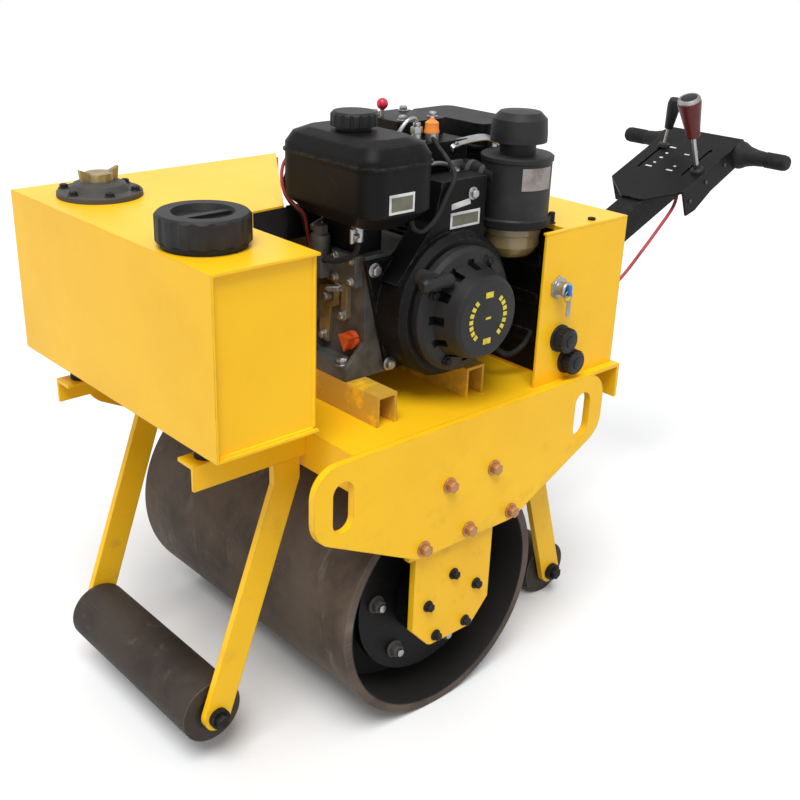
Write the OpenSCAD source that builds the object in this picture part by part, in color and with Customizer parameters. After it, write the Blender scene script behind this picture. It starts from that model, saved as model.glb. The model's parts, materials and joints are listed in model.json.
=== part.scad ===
// Walk-behind single-drum road roller with an open diesel engine.
// +X points forwards to the water tank, +Y to the machine's left, +Z up.
// The origin is on the ground, under the middle of the drum's axle.

/* [Drum] */
// Outside diameter of the drum
drum_d = 425; // [390:5:450]
// Length of the drum
drum_w = 600; // [540:10:700]
// Thickness of the drum's shell
drum_wall = 16; // [10:1:22]
// Depth of each bulkhead from the drum's end
drum_recess = 105; // [90:5:140]
// Thickness of the bulkheads
bulkhead_t = 12; // [8:1:16]
// Diameter of the drive plate inside each end
drive_plate_d = 300; // [280:5:320]
// Thickness of the drive plate
drive_plate_t = 12; // [8:1:16]
// Depth of the drive plate from the drum's end
drive_plate_depth = 40; // [34:1:48]
// Radius of the ring of rubber buffers
buffer_ring_r = 116; // [108:1:120]
// Diameter of a rubber buffer
buffer_d = 56; // [40:2:64]
// Number of buffers at each end
buffer_count = 6; // [4:1:6]
// Diameter of the stub shafts
shaft_d = 60; // [40:2:80]
// Diameter of the motor housings that carry the shafts
motor_d = 150; // [120:5:170]
// Diameter of the vibrator inside the drum
vibrator_d = 150; // [100:10:200]

/* [Frame] */
// Thickness of the side plates
plate_t = 12; // [8:1:16]
// Gap between the drum's end and the bracket beside it
drum_side_gap = 9; // [6:1:14]
// Thickness of the hanging drum brackets
bracket_t = 12; // [8:1:16]
// Width of the hanging drum brackets
bracket_w = 175; // [160:5:200]
// Height of the drum brackets' lower edge
bracket_low_z = 150; // [140:1:160]
// Length of the side plates
plate_len = 632; // [600:4:700]
// Offset of the side plates' middle behind the axle
plate_back = 15; // [0:1:30]
// Height of the side plates' top edge over the deck
plate_rise = 5; // [4:1:20]
// Height of the side plates' lower corners
plate_corner_z = 424; // [410:1:440]
// Height of the side plates' bottom edge
plate_bottom_z = 337; // [320:1:350]
// Length of the side plates' bottom edge
plate_bottom_len = 240; // [200:5:280]
// Corner radius of the side plates
plate_r = 46; // [20:1:60]
// Width of the lifting slots
slot_w = 38; // [30:1:46]
// Height of the lifting slots
slot_h = 82; // [60:1:90]
// Distance of each lifting slot from the plate's middle
slot_x = 263; // [240:1:270]
// Height of the lifting slots' middle
slot_z = 483; // [475:1:495]
// Height of the deck's top face
deck_z = 548; // [540:1:550]
// Thickness of the deck sheet
deck_t = 6; // [4:1:8]
// Front edge of the deck
deck_front = 215; // [200:1:220]
// Rear edge of the deck
deck_rear = 386; // [380:1:400]
// Depth of the deck's folded flanges
deck_flange = 62; // [60:1:80]

/* [Support rollers] */
// Diameter of the support rollers
roller_d = 106; // [80:2:120]
// Wall of the support rollers
roller_wall = 6; // [4:1:10]
// Height of the front roller's axle
front_roller_z = 97; // [70:1:120]
// Distance of the front roller's axle ahead of the drum's axle
front_roller_x = 384; // [370:1:400]
// Distance of the rear roller's axle behind the drum's axle
rear_roller_x = 414; // [400:1:430]
// Diameter of the support rollers' axles
axle_d = 24; // [16:1:30]
// Width of the legs
leg_w = 48; // [40:1:56]
// Thickness of the legs
leg_t = 12; // [8:1:16]
// Distance of the legs' outer faces from the middle
leg_y = 198; // [180:1:210]
// Distance of the front legs' tops ahead of the axle
front_leg_x = 246; // [244:1:260]
// Distance of the rear legs' tops behind the axle
rear_leg_x = 282; // [260:1:300]
// Height where the legs bend
leg_bend_z = 470; // [440:1:480]
// Gap beside each support roller
roller_gap = 5; // [5:1:10]

/* [Water tank] */
// Front face of the tank
tank_front = 423; // [410:1:440]
// Depth of the tank on the left
tank_depth = 173; // [160:1:180]
// Width of the tank
tank_w = 562; // [540:2:580]
// Height of the tank's underside over the deck
tank_lift = 36; // [24:1:50]
// Height of the tank
tank_h = 261; // [240:1:280]
// Thickness of the tank's sheet
tank_wall = 4; // [3:1:6]
// Depth of the recessed end panels
tank_lip = 9; // [5:1:14]
// Length of the tank on the right
tank_right_len = 515; // [490:5:520]
// Length of the arms that carry the tank
arm_len = 198; // [190:1:205]
// Size of the angle bar that the arms are made of
arm_leg = 40; // [36:1:46]
// Thickness of that bar
arm_t = 6; // [4:1:8]
// Diameter of the water cap
water_cap_d = 130; // [110:2:140]
// Height of the water cap
water_cap_h = 46; // [36:1:56]
// Number of flutes round the water cap
cap_flutes = 16; // [10:1:24]
// Diameter of the oil breather's flange
breather_d = 132; // [110:2:136]
// Height of the oil breather
breather_h = 22; // [18:1:30]

/* [Rear box] */
// Front edge of the rear box's cheeks
box_front = 179; // [170:1:190]
// Back face of the rear box
box_back = 380; // [376:1:386]
// Height of the rear box's sides
box_h = 255; // [240:1:270]
// Distance of the rear box's sides from the middle
box_y = 305; // [295:1:310]
// Sheet thickness of the rear box
box_wall = 4; // [3:1:6]
// How far the front wall is set back from the cheeks
box_set_back = 50; // [48:1:60]

/* [Engine] */
// Distance of the crankshaft behind the axle
crank_x = 41; // [36:1:46]
// Height of the crankshaft over the engine rails
crank_lift = 105; // [101:1:112]
// Width of the engine rails
rail_w = 40; // [30:1:50]
// Height of the engine rails
rail_h = 50; // [46:1:54]
// Distance of the front rail ahead of the axle
front_rail_x = 107; // [100:1:115]
// Distance of the rear rail behind the axle
rear_rail_x = 82; // [76:1:90]
// Left end of the engine rails
rail_end_y = 264; // [240:1:280]
// Sheet thickness of the engine rails
rail_t = 5; // [3:1:7]
// Radius of the blower housing
blower_r = 116; // [108:1:118]
// Depth of the blower housing
blower_t = 66; // [60:1:70]
// Radius of the starter's rim
starter_r = 98; // [90:1:102]
// Radius of the starter's cap
starter_cap_r = 61; // [56:1:66]
// Depth of the starter
starter_t = 64; // [54:1:70]
// Number of vents round the starter
vent_count = 12; // [8:1:16]
// Length of the starter's pull handle
pull_len = 62; // [50:1:70]
// Width of the cylinder
cyl_w = 108; // [100:1:112]
// Height of the finned cylinder
cyl_h = 82; // [74:1:90]
// Height of the cylinder head
head_h = 63; // [56:1:70]
// Number of cooling fins on the cylinder
fin_count = 9; // [6:1:12]
// Thickness of a cooling fin
fin_t = 4; // [3:1:5]
// Diameter of the air cleaner
cleaner_d = 114; // [100:2:116]
// Height of the air cleaner's body
cleaner_h = 94; // [84:1:104]
// Diameter of the air cleaner's rain cap
rain_cap_d = 88; // [76:2:96]
// Height of the air cleaner's rain cap
rain_cap_h = 46; // [36:1:56]
// Depth of the air cleaner's bowl
bowl_h = 48; // [40:1:56]
// Length of the fuel tank along the crankshaft
fuel_len = 212; // [190:2:216]
// Width of the fuel tank
fuel_w = 130; // [110:2:132]
// Height of the fuel tank
fuel_h = 126; // [112:1:140]
// Diameter of the fuel cap
fuel_cap_d = 68; // [56:2:80]
// Height of the fuel cap
fuel_cap_h = 26; // [20:1:32]
// Length of the muffler
muffler_len = 176; // [150:2:180]
// Width of the muffler
muffler_w = 96; // [84:2:98]
// Height of the muffler
muffler_h = 78; // [64:1:84]
// Diameter of the hydraulic pump's body
pump_d = 74; // [60:2:90]
// Length of the hydraulic pump's body
pump_len = 94; // [70:2:100]

/* [Handle] */
// Distance of the handle's pivot behind the axle
pivot_x = 430; // [428:1:440]
// Height of the handle's pivot
pivot_z = 517; // [510:1:525]
// Angle of the handle above level
handle_tilt = 23.3; // [18:0.1:30]
// Width of the handle's arm
beam_w = 52; // [44:1:60]
// Height of the arm's top face over the pivot
beam_top = 32; // [28:1:34]
// Depth of the arm
beam_h = 58; // [54:1:62]
// Thickness of the arm's sheet
beam_t = 5; // [3:1:6]
// Diameter of the pivot pin
pin_d = 20; // [14:1:24]
// Width of the control panel
panel_w = 184; // [170:2:200]
// Thickness of the control panel's sheet
panel_t = 5; // [3:1:8]
// Distance from the pivot to the panel's straight sides
panel_start = 482; // [470:1:490]
// Distance from the pivot to the panel's rear edge
panel_end = 700; // [694:1:720]
// Width of the handlebar over its grips
bar_len = 410; // [390:5:440]
// Diameter of the handlebar's tube
bar_d = 28; // [22:1:30]
// Diameter of a grip
grip_d = 35; // [34:1:40]
// Distance from the pivot to the gear lever
lever_u = 560; // [540:1:580]
// Height of the gear lever's rod
lever_h = 82; // [60:1:90]

/* [Hidden] */
$fn = 64;
hull_fn = 32;

yellow = "gold";
black = "#26272a";
steel = "#8d9092";
rust = "#5b4a41";
zinc = "#b79b4a";
rubber = "#1b1b1c";

// Fits
run_fit = 0.05;
seat_fit = 0.1;
eps = 0.01;

// Drum stack, measured outwards from the middle
drum_r = drum_d / 2;
drum_end = drum_w / 2;
plate_in = drum_end + drum_side_gap + bracket_t;
plate_out = plate_in + plate_t;
bracket_in = drum_end + drum_side_gap;
drive_out = drum_end - drive_plate_depth;
drive_in = drive_out - drive_plate_t;
bulkhead_out = drum_end - drum_recess;
bulkhead_in = bulkhead_out - bulkhead_t;
motor_gap = 6;
motor_in = drive_out + motor_gap;
motor_floor = 5;
buffer_phase = 7.5;

// Frame
plate_mid = -plate_back;
plate_top_z = deck_z + plate_rise;
bracket_top_z = plate_bottom_z + 70;
bracket_low_w = 80;
bracket_low_r = 20;
bracket_ear = 14;
bracket_lap = 8;
deck_under = deck_z - deck_t;

// Support rollers
roller_r = roller_d / 2;
leg_in = leg_y - leg_t;
roller_half = leg_in - roller_gap;
rear_roller_z = roller_r;
leg_top_z = deck_under - arm_t;
axle_head_d = 34;
axle_head_t = 9;
lug_t = 6;
lug_h = 56;

// Tank and its cut-away rear outline
tank_z = deck_z + tank_lift;
tank_top = tank_z + tank_h;
tank_half = tank_w / 2;
tank_back = tank_front - tank_depth;
tank_notch_y = 128;
tank_step = [197, 52];
tank_nose = [136, 48];
function tank_outline(half) = [[tank_front, half], [tank_back, half], [tank_back, tank_notch_y],
    tank_step, tank_nose, [tank_front - tank_right_len, -half], [tank_front, -half]];
arm_end = deck_front + arm_len;
arm_top = deck_z;
pad_len = 34;
water_cap_at = [353, 160];
breather_at = [327, -171];
filler_d = 90;
cap_neck = 6;
cap_rim = 22;
cap_dish = 9;
cap_skirt = 9;
cap_edge = 4;
flute_d = 30;
flute_depth = 2;
breather_bore = 70;
breather_hub = 80;
flange_t = 9;
plug_d = 44;
plug_h = 13;
plug_wing = 30;
wing_t = 8;

// Rear box
box_z = deck_z;
box_top = box_z + box_h;
lid_t = 4;
box_wall_x = box_front + box_set_back;
socket_at = [[-box_front - 54, deck_z + 76], [-box_front - 78, deck_z + 33]];
key_at = [-box_front - 38, deck_z + 166];
socket_d = 40;
socket_h = 25;
key_d = 30;
key_h = 16;

// Engine: crankcase and mounting
rail_top = deck_z + rail_h;
crank_z = rail_top + crank_lift;
case_left = 190;
case_right = 0;
case_top = crank_z + 87;
case_front = 92;
case_back = 150;
case_r = 160;
foot_t = 22;
foot_right = 66;
rib_t = 7;
gusset_h = 34;
tappet_h = 48;

// Engine: blower, air duct and starter
plate_thick = 8;
cover_front = 98;
cover_top_z = case_top - 6;
case_back_low = 18;
blower_lip = 9;
duct_left = case_left + 46;
duct_right = -crank_x - 67;
duct_front = -14;
duct_top = case_top + 105;
duct_start = [blower_r - crank_x - 4, crank_z + 50];
duct_bend_z = crank_z + 131;
duct_inset = 5;
starter_y = case_left + blower_t;
starter_end = starter_y + starter_t;
vent_w = 14;
vent_h = 20;
vent_depth = 24;
pull_at = [41, crank_z + 63];
pull_y = starter_y + 34;
pull_d = 20;
guide_d = 26;

// Engine: cylinder and head
cyl_x = -85;
cyl_left = 160;
cyl_right = 10;
core_inset = 13;
fin_top = case_top + cyl_h;
head_top = fin_top + head_h;
cover_top = head_top + 27;
cover_r = 14;
cover_left = 126;
injector_at = [-77, 143];
injector_d = 20;

// Engine: fuel tank
fuel_at = [88, 160];
fuel_cap_at = [88, 152];
fuel_z = case_top + 54;
fuel_top = fuel_z + fuel_h;
fuel_corner = 30;
fuel_edge = 24;
fuel_seam = 3;

// Engine: air cleaner and muffler
cleaner_at = [-178, 232];
cleaner_r = cleaner_d / 2;
cleaner_z = case_top + 36;
cleaner_top = cleaner_z + cleaner_h;
clamp_h = 16;
stem_d = 56;
stem_h = 19;
bowl_top = cleaner_z - clamp_h;
bowl_d = 92;
intake_d = 28;
muffler_at = [-232, 62];
muffler_z = fin_top;
muffler_r = 18;
exhaust_d = 38;
tail_d = 28;
tail_len = 40;

// Handle
beam_low = beam_top - beam_h;
ear_gap = 3;
ear_t = 10;
ear_r = 24;
ear_in = beam_w / 2 + ear_gap;
boss_r = 25;
panel_half = panel_w / 2;
panel_top = beam_top + panel_t;
beam_end = panel_start + 130;
panel_nose = 42;
panel_nose_w = 44;
panel_nose_r = 12;
slot_len = 110;
slot_gap = 9;
lever_slots = [52, -60];
cheek_t = 5;
bar_u = panel_end - 17;
bar_w = 9;
lever_y = 72;
lever_d = 10;
cable_d = 7;
cable_sides = 8;
cable_steps = 4;
beam_root = 30;
stop_d = 18;
stop_gap = 0.5;
stop_u = 44;
stop_w = beam_low - stop_gap - stop_d / 2;
stop_at = [-pivot_x - stop_u * cos(handle_tilt) + stop_w * sin(handle_tilt),
    pivot_z + stop_u * sin(handle_tilt) + stop_w * cos(handle_tilt)];
// Route of the cable in the handle's frame, from the panel down to the arm's root
cable_route = [[-500, 62, 32], [-498, 62, 12], [-478, 62, -8], [-430, 61, -26], [-370, 60, -45],
    [-296, 58, -66], [-220, 48, -80], [-160, 30, -78], [-115, 10, -60], [-80, 0, -34],
    [-55, 0, -16], [-30, 0, -10]];

// Rounded convex outline through the given corners
module rounded(points, r) {
    hull() for (p = points) translate(p) circle(r, $fn = hull_fn);
}

// Flat outline in X and Z, given a thickness from y0 to y1
module slab_y(y0, y1) {
    translate([0, y1, 0]) rotate([90, 0, 0]) linear_extrude(y1 - y0) children();
}

// Round bar along Y
module bar_y(x, z, d, y0, y1) {
    translate([x, y1, z]) rotate([90, 0, 0]) cylinder(h = y1 - y0, d = d);
}

// Solid of revolution whose axis lies along +Y
module spin_y(x, z) {
    translate([x, 0, z]) rotate([-90, 0, 0]) rotate_extrude() children();
}

// The same shape on both sides of the machine
module both_sides() {
    children();
    mirror([0, 1, 0]) children();
}

// The handle's own frame: -X runs up the arm from the pivot
module on_handle() {
    translate([-pivot_x, 0, pivot_z]) rotate([0, handle_tilt, 0]) children();
}

// Smooth curve through the points of a route
function route_point(r, i) = r[max(0, min(len(r) - 1, i))];
function route_at(r, i, t) =
    let (a = route_point(r, i - 1), b = route_point(r, i))
    let (c = route_point(r, i + 1), d = route_point(r, i + 2))
    0.5 * (2 * b + (c - a) * t + (2 * a - 5 * b + 4 * c - d) * t * t + (3 * b - a - 3 * c + d) * t * t * t);
function route_curve(r, steps) =
    [for (i = [0 : len(r) - 2], k = [0 : steps - 1]) route_at(r, i, k / steps), r[len(r) - 1]];
function unit(v) = v / norm(v);

// Round cord swept along a curve
module cord(points, d, sides) {
    last = len(points) - 1;
    rings = [for (i = [0 : last])
        let (along = unit(points[min(last, i + 1)] - points[max(0, i - 1)]),
            across = unit(cross(along, [0, 1, 0.2])), up = cross(across, along))
        for (k = [0 : sides - 1])
            points[i] + d / 2 * (cos(360 * k / sides) * across + sin(360 * k / sides) * up)];
    walls = [for (i = [0 : last - 1], k = [0 : sides - 1])
        let (a = i * sides + k, b = i * sides + (k + 1) % sides) [a, b, b + sides, a + sides]];
    first_end = [for (k = [0 : sides - 1]) sides - 1 - k];
    last_end = [for (k = [0 : sides - 1]) last * sides + k];
    polyhedron(rings, concat([first_end], walls, [last_end]));
}

// Upright obround
module obround(w, h) {
    square([w, h - w], center = true);
    for (s = [-1, 1]) translate([0, s * (h - w) / 2]) circle(d = w);
}

module deck() {
    color(yellow) {
        translate([-deck_rear, -plate_in, deck_under])
            cube([deck_front + deck_rear, 2 * plate_in, deck_t]);
        for (x = [-deck_rear, deck_front - deck_t])
            translate([x, -plate_in, deck_z - deck_flange]) cube([deck_t, 2 * plate_in, deck_flange]);
        both_sides() translate([-rear_leg_x - leg_w / 2, leg_y, deck_under - lug_h])
            cube([leg_w, lug_t, lug_h + eps]);
    }
}

module side_plate() {
    half_len = plate_len / 2 - plate_r;
    half_low = plate_bottom_len / 2 - plate_r / 2;
    top = plate_top_z - plate_r;
    low = plate_bottom_z + plate_r;
    slab_y(plate_in, plate_out) difference() {
        rounded([[plate_mid - half_len, top], [plate_mid + half_len, top],
            [plate_mid + half_len, plate_corner_z + plate_r], [plate_mid + half_low, low],
            [plate_mid - half_low, low], [plate_mid - half_len, plate_corner_z + plate_r]], plate_r);
        for (s = [-1, 1]) translate([plate_mid + s * slot_x, slot_z]) obround(slot_w, slot_h);
    }
}

module side_plate_left() { color(yellow) side_plate(); }

module side_plate_right() { color(yellow) mirror([0, 1, 0]) side_plate(); }

module drum_bracket() {
    slab_y(bracket_in, plate_in) {
        hull() {
            translate([-bracket_w / 2, drum_r - bracket_low_r]) square([bracket_w, bracket_top_z - drum_r]);
            for (s = [-1, 1]) translate([s * bracket_low_w / 2, bracket_low_z + bracket_low_r])
                circle(bracket_low_r, $fn = hull_fn);
        }
        translate([-bracket_w / 2 - bracket_ear, plate_bottom_z - bracket_lap])
            square([bracket_w + 2 * bracket_ear, bracket_top_z - plate_bottom_z]);
    }
}

module drum_bracket_left() { color(yellow) drum_bracket(); }

module drum_bracket_right() { color(yellow) mirror([0, 1, 0]) drum_bracket(); }

module motor_housings() {
    color(black) both_sides() difference() {
        bar_y(0, drum_r, motor_d, motor_in, bracket_in);
        bar_y(0, drum_r, shaft_d + 2 * run_fit, motor_in - eps, bracket_in - motor_floor);
    }
}

module tank_arms() {
    color(yellow) both_sides() {
        translate([deck_front, leg_y, arm_top - arm_leg]) cube([arm_len, arm_t, arm_leg]);
        translate([deck_front, leg_y + arm_t - arm_leg, arm_top - arm_t]) cube([arm_len, arm_leg, arm_t]);
    }
}

module tank_pads() {
    pad_y = leg_y + arm_t - arm_leg / 2;
    color(rubber) both_sides() for (x = [tank_back + pad_len, arm_end - pad_len])
        translate([x, pad_y, arm_top]) cylinder(h = tank_z - arm_top, d = pad_len);
}

// Bent flat bar from the frame down to a support roller's axle
module leg(top_x, axle_x, axle_z) {
    slab_y(leg_in, leg_y) difference() {
        union() {
            translate([top_x - leg_w / 2, leg_bend_z]) square([leg_w, leg_top_z - leg_bend_z]);
            hull() {
                translate([axle_x, axle_z]) circle(leg_w / 2);
                translate([top_x - leg_w / 2, leg_bend_z]) square([leg_w, eps]);
            }
        }
        translate([axle_x, axle_z]) circle(axle_d / 2 + seat_fit);
    }
}

module front_legs() {
    color(yellow) both_sides() leg(front_leg_x, front_roller_x, front_roller_z);
}

module rear_legs() {
    color(yellow) both_sides() leg(-rear_leg_x, -rear_roller_x, rear_roller_z);
}

module roller_axles() {
    color(steel) for (at = [[front_roller_x, front_roller_z], [-rear_roller_x, rear_roller_z]]) {
        bar_y(at[0], at[1], axle_d, -leg_y, leg_y);
        both_sides() bar_y(at[0], at[1], axle_head_d, leg_y, leg_y + axle_head_t);
    }
}

// Hollow roller with closed ends that turn on the axle
module support_roller(x, z) {
    spin_y(x, z) difference() {
        translate([axle_d / 2 + run_fit, -roller_half])
            square([roller_r - axle_d / 2 - run_fit, 2 * roller_half]);
        translate([axle_d / 2 + run_fit - eps, -roller_half + 4 * roller_wall])
            square([roller_r - roller_wall - axle_d / 2, 2 * roller_half - 8 * roller_wall]);
    }
}

module front_roller() { color(rust) support_roller(front_roller_x, front_roller_z); }

module rear_roller() { color(rust) support_roller(-rear_roller_x, rear_roller_z); }

module water_tank() {
    color(yellow) difference() {
        translate([0, 0, tank_z]) linear_extrude(tank_h) polygon(tank_outline(tank_half));
        translate([0, 0, tank_z + tank_wall]) linear_extrude(tank_h - 2 * tank_wall)
            offset(delta = -tank_wall) polygon(tank_outline(tank_half - tank_lip));
        for (s = [-1, 1]) translate([tank_front - tank_wall, s * tank_half, tank_top - tank_wall])
            mirror([1, 0, 0]) mirror([0, 0, 1])
                translate([0, -tank_lip, 0]) cube([tank_right_len, 2 * tank_lip, tank_h - 2 * tank_wall]);
        translate([water_cap_at[0], water_cap_at[1], tank_top - 2 * tank_wall])
            cylinder(h = 3 * tank_wall, d = filler_d);
        translate([breather_at[0], breather_at[1], tank_top - 2 * tank_wall])
            cylinder(h = 3 * tank_wall, d = breather_bore);
    }
}

module water_cap() {
    r = water_cap_d / 2;
    dish = water_cap_h - cap_dish;
    color(black) translate([water_cap_at[0], water_cap_at[1], tank_top]) {
        difference() {
            rotate_extrude() polygon([[0, 0], [r - cap_neck, 0], [r - cap_neck, cap_skirt], [r, cap_skirt],
                [r, water_cap_h - cap_edge], [r - cap_edge, water_cap_h], [r - cap_rim, water_cap_h],
                [r - cap_rim - cap_edge, dish], [0, dish]]);
            for (i = [0 : cap_flutes - 1]) rotate(i * 360 / cap_flutes)
                translate([r + flute_d / 2 - flute_depth, 0, cap_skirt + eps])
                    cylinder(h = water_cap_h, d = flute_d);
        }
        translate([-r + cap_rim, -cap_neck, dish - eps])
            cube([2 * (r - cap_rim), 2 * cap_neck, cap_dish - cap_edge]);
    }
}

module oil_breather() {
    r = breather_d / 2;
    color(black) translate([breather_at[0], breather_at[1], tank_top])
        rotate_extrude() polygon([[0, 0], [r, 0], [r, flange_t - 2], [r - 2, flange_t],
            [breather_hub / 2 + 6, flange_t], [breather_hub / 2, breather_h - 3],
            [breather_hub / 2 - 8, breather_h], [0, breather_h]]);
}

// Threaded plug with two upright wings
module breather_plug() {
    root = plug_d / 2 - wing_t;
    color(zinc) translate([breather_at[0], breather_at[1], tank_top + breather_h]) {
        cylinder(h = plug_h, d = plug_d, $fn = 12);
        for (s = [-1, 1]) slab_y(-wing_t / 2, wing_t / 2) polygon([[s * root, 0], [s * plug_wing, 0],
            [s * (plug_wing + 3), plug_h + 7], [s * (plug_wing - 7), plug_h + 3], [s * root, plug_h]]);
    }
}

module rear_box() {
    color(yellow) difference() {
        translate([-box_back, -box_y, box_z]) cube([box_back - box_front, 2 * box_y, box_h]);
        translate([-box_back + box_wall, -box_y + box_wall, box_z + box_wall])
            cube([box_back - box_wall_x - 2 * box_wall, 2 * (box_y - box_wall), box_h]);
        translate([-box_wall_x, -box_y + box_wall, box_z - eps])
            cube([box_set_back + eps, 2 * (box_y - box_wall), box_h + 2 * eps]);
    }
}

module rear_box_lid() {
    color(yellow) translate([-box_back, -box_y, box_top]) cube([box_back - box_wall_x, 2 * box_y, lid_t]);
}

module socket_caps() {
    r = socket_d / 2;
    color(black) for (at = socket_at) spin_y(at[0], at[1])
        polygon([[0, box_y], [r + 3, box_y], [r + 3, box_y + 4], [r - 3, box_y + 6], [r - 3, box_y + 10],
            [r, box_y + 11], [r, box_y + socket_h - 3], [r - 4, box_y + socket_h], [0, box_y + socket_h]]);
}

module key_switch() {
    r = key_d / 2;
    color(steel) spin_y(key_at[0], key_at[1]) polygon([[0, box_y], [r, box_y], [r, box_y + 4],
        [r - 4, box_y + 5], [r - 4, box_y + key_h], [0, box_y + key_h]]);
}

// Inverted channel across the deck
module engine_rails() {
    rail_right = foot_right;
    color(yellow) for (x = [front_rail_x, -rear_rail_x]) difference() {
        translate([x - rail_w / 2, rail_right, deck_z]) cube([rail_w, rail_end_y - rail_right, rail_h]);
        translate([x - rail_w / 2 + rail_t, rail_right - eps, deck_z - eps])
            cube([rail_w - 2 * rail_t, rail_end_y - rail_right + 2 * eps, rail_h - rail_t]);
    }
}

// Flat outline in Y and Z, given a thickness from x0 to x1
module slab_x(x0, x1) {
    translate([x0, 0, 0]) rotate([90, 0, 90]) linear_extrude(x1 - x0) children();
}

module crankcase() {
    foot_front = front_rail_x + rail_w / 2;
    foot_back = -rear_rail_x - rail_w / 2;
    sump = rail_top + foot_t;
    color(steel) {
        translate([foot_back, foot_right, rail_top])
            cube([foot_front - foot_back, case_left - foot_right, foot_t]);
        slab_y(case_right, case_left) intersection() {
            translate([-case_back, sump - eps]) square([case_back + case_front, case_top - sump + eps]);
            translate([-crank_x, crank_z]) circle(r = case_r);
        }
        for (y = [foot_right, case_left - rib_t]) slab_y(y, y + rib_t)
            polygon([[case_front - eps, sump - eps], [foot_front, sump - eps],
                [case_front - eps, sump + gusset_h]]);
        slab_x(case_front - eps, case_front + rib_t)
            rounded([[44, sump + 26], [44, sump + 66], [70, sump + 46]], cover_r);
        translate([case_front - eps, case_left - 62, case_top - tappet_h]) cube([2 * rib_t, 54, tappet_h]);
    }
}

module cylinder_block() {
    pitch = (fin_top - case_top) / fin_count;
    depth = cyl_left - cyl_right;
    back = cyl_x - cyl_w / 2;
    color(black) {
        translate([back + core_inset, cyl_right + core_inset, case_top])
            cube([cyl_w - 2 * core_inset, depth - 2 * core_inset, fin_top - case_top]);
        for (i = [0 : fin_count - 1]) translate([back, cyl_right, case_top + (i + 0.5) * pitch])
            cube([cyl_w, depth, fin_t]);
        translate([back, cyl_right, fin_top]) cube([cyl_w, depth, head_h]);
        translate([cyl_x, (cover_left + cyl_right) / 2, head_top - eps]) linear_extrude(cover_top - head_top)
            rounded([for (sx = [-1, 1], sy = [-1, 1]) [sx * (cyl_w / 2 - cover_r - 6),
                sy * ((cover_left - cyl_right) / 2 - cover_r - 6)]], cover_r);
        translate([injector_at[0], injector_at[1], head_top - eps])
            cylinder(h = cover_top - head_top, d = injector_d);
    }
}

// Round fan housing with a flat cover plate behind it and an air duct up to the cylinder
module blower_housing() {
    flat = rail_top + 1;
    duct_back = case_left + plate_thick / 4;
    ring_back = case_left + plate_thick / 2;
    cover_low = flat + 3;
    cover = [[cover_front, cover_top_z], [cover_front / 2, cover_low], [case_back_low - case_back, cover_low],
        [-case_back, crank_z - foot_t], [case_back_low - case_back, cover_top_z]];
    duct = [duct_start, [0, duct_bend_z], [duct_front, duct_top], [duct_right, duct_top],
        [duct_right, crank_z]];
    color(black) {
        slab_y(case_left, case_left + plate_thick) polygon(cover);
        slab_y(duct_back, duct_left) polygon(duct);
        translate([duct_right + duct_inset, cyl_left, case_top])
            cube([duct_front - duct_right - 2 * duct_inset, duct_left - cyl_left - duct_inset,
                duct_top - case_top - duct_inset]);
        intersection() {
            spin_y(-crank_x, crank_z) polygon([[0, ring_back], [blower_r, ring_back],
                [blower_r, starter_y - blower_lip], [blower_r - blower_lip, starter_y], [0, starter_y]]);
            translate([-crank_x - 2 * blower_r, 0, flat]) cube([4 * blower_r, 2 * starter_y, 3 * blower_r]);
        }
    }
}

// Recoil starter with vents in its cone and a pull handle on its guide
module starter() {
    rim = starter_y + 12;
    color(black) {
        difference() {
            spin_y(-crank_x, crank_z) polygon([[0, starter_y], [starter_r, starter_y], [starter_r, rim],
                [starter_r - 6, rim + 6], [starter_cap_r + 14, rim + 10],
                [starter_cap_r + 3, starter_end - 5], [starter_cap_r - 3, starter_end], [0, starter_end]]);
            for (i = [0 : vent_count - 1])
                translate([-crank_x, rim + 16, crank_z]) rotate([0, i * 360 / vent_count, 0])
                    translate([starter_cap_r + vent_h / 2, 0, 0])
                        cube([vent_h, vent_depth, vent_w], center = true);
        }
        translate([pull_at[0], starter_y, pull_at[1]]) rotate([-90, 0, 0])
            cylinder(h = pull_y - starter_y, d = guide_d);
        translate([pull_at[0] - pull_len / 2, pull_y, pull_at[1]]) rotate([0, 90, 0]) rotate_extrude()
            polygon([[0, 0], [pull_d / 2 - 3, 0], [pull_d / 2 + 1, 6], [pull_d / 2 - 1, pull_len / 2],
                [pull_d / 2 + 1, pull_len - 6], [pull_d / 2 - 3, pull_len], [0, pull_len]]);
    }
}

// Rounded rectangle of the fuel tank, smaller by an inset
module fuel_outline(inset) {
    reach = fuel_corner + max(0, inset);
    rounded([for (sx = [-1, 1], sy = [-1, 1]) [sx * (fuel_w / 2 - reach), sy * (fuel_len / 2 - reach)]],
        fuel_corner - min(0, inset));
}

module fuel_tank() {
    seam_z = fuel_h - 36;
    color(black) {
        translate([fuel_at[0], fuel_at[1], fuel_z]) {
            hull() {
                linear_extrude(eps) fuel_outline(fuel_edge);
                translate([0, 0, fuel_edge]) linear_extrude(fuel_h - 2 * fuel_edge) fuel_outline(0);
                translate([0, 0, fuel_h - fuel_edge / 3]) linear_extrude(eps) fuel_outline(fuel_edge / 3);
                translate([0, 0, fuel_h - eps]) linear_extrude(eps) fuel_outline(fuel_edge);
            }
            translate([0, 0, seam_z]) linear_extrude(fuel_seam) fuel_outline(-fuel_seam);
        }
        translate([fuel_at[0] - 40, fuel_at[1] - 70, case_top]) cube([46, 84, fuel_z - case_top + eps]);
    }
}

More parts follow.
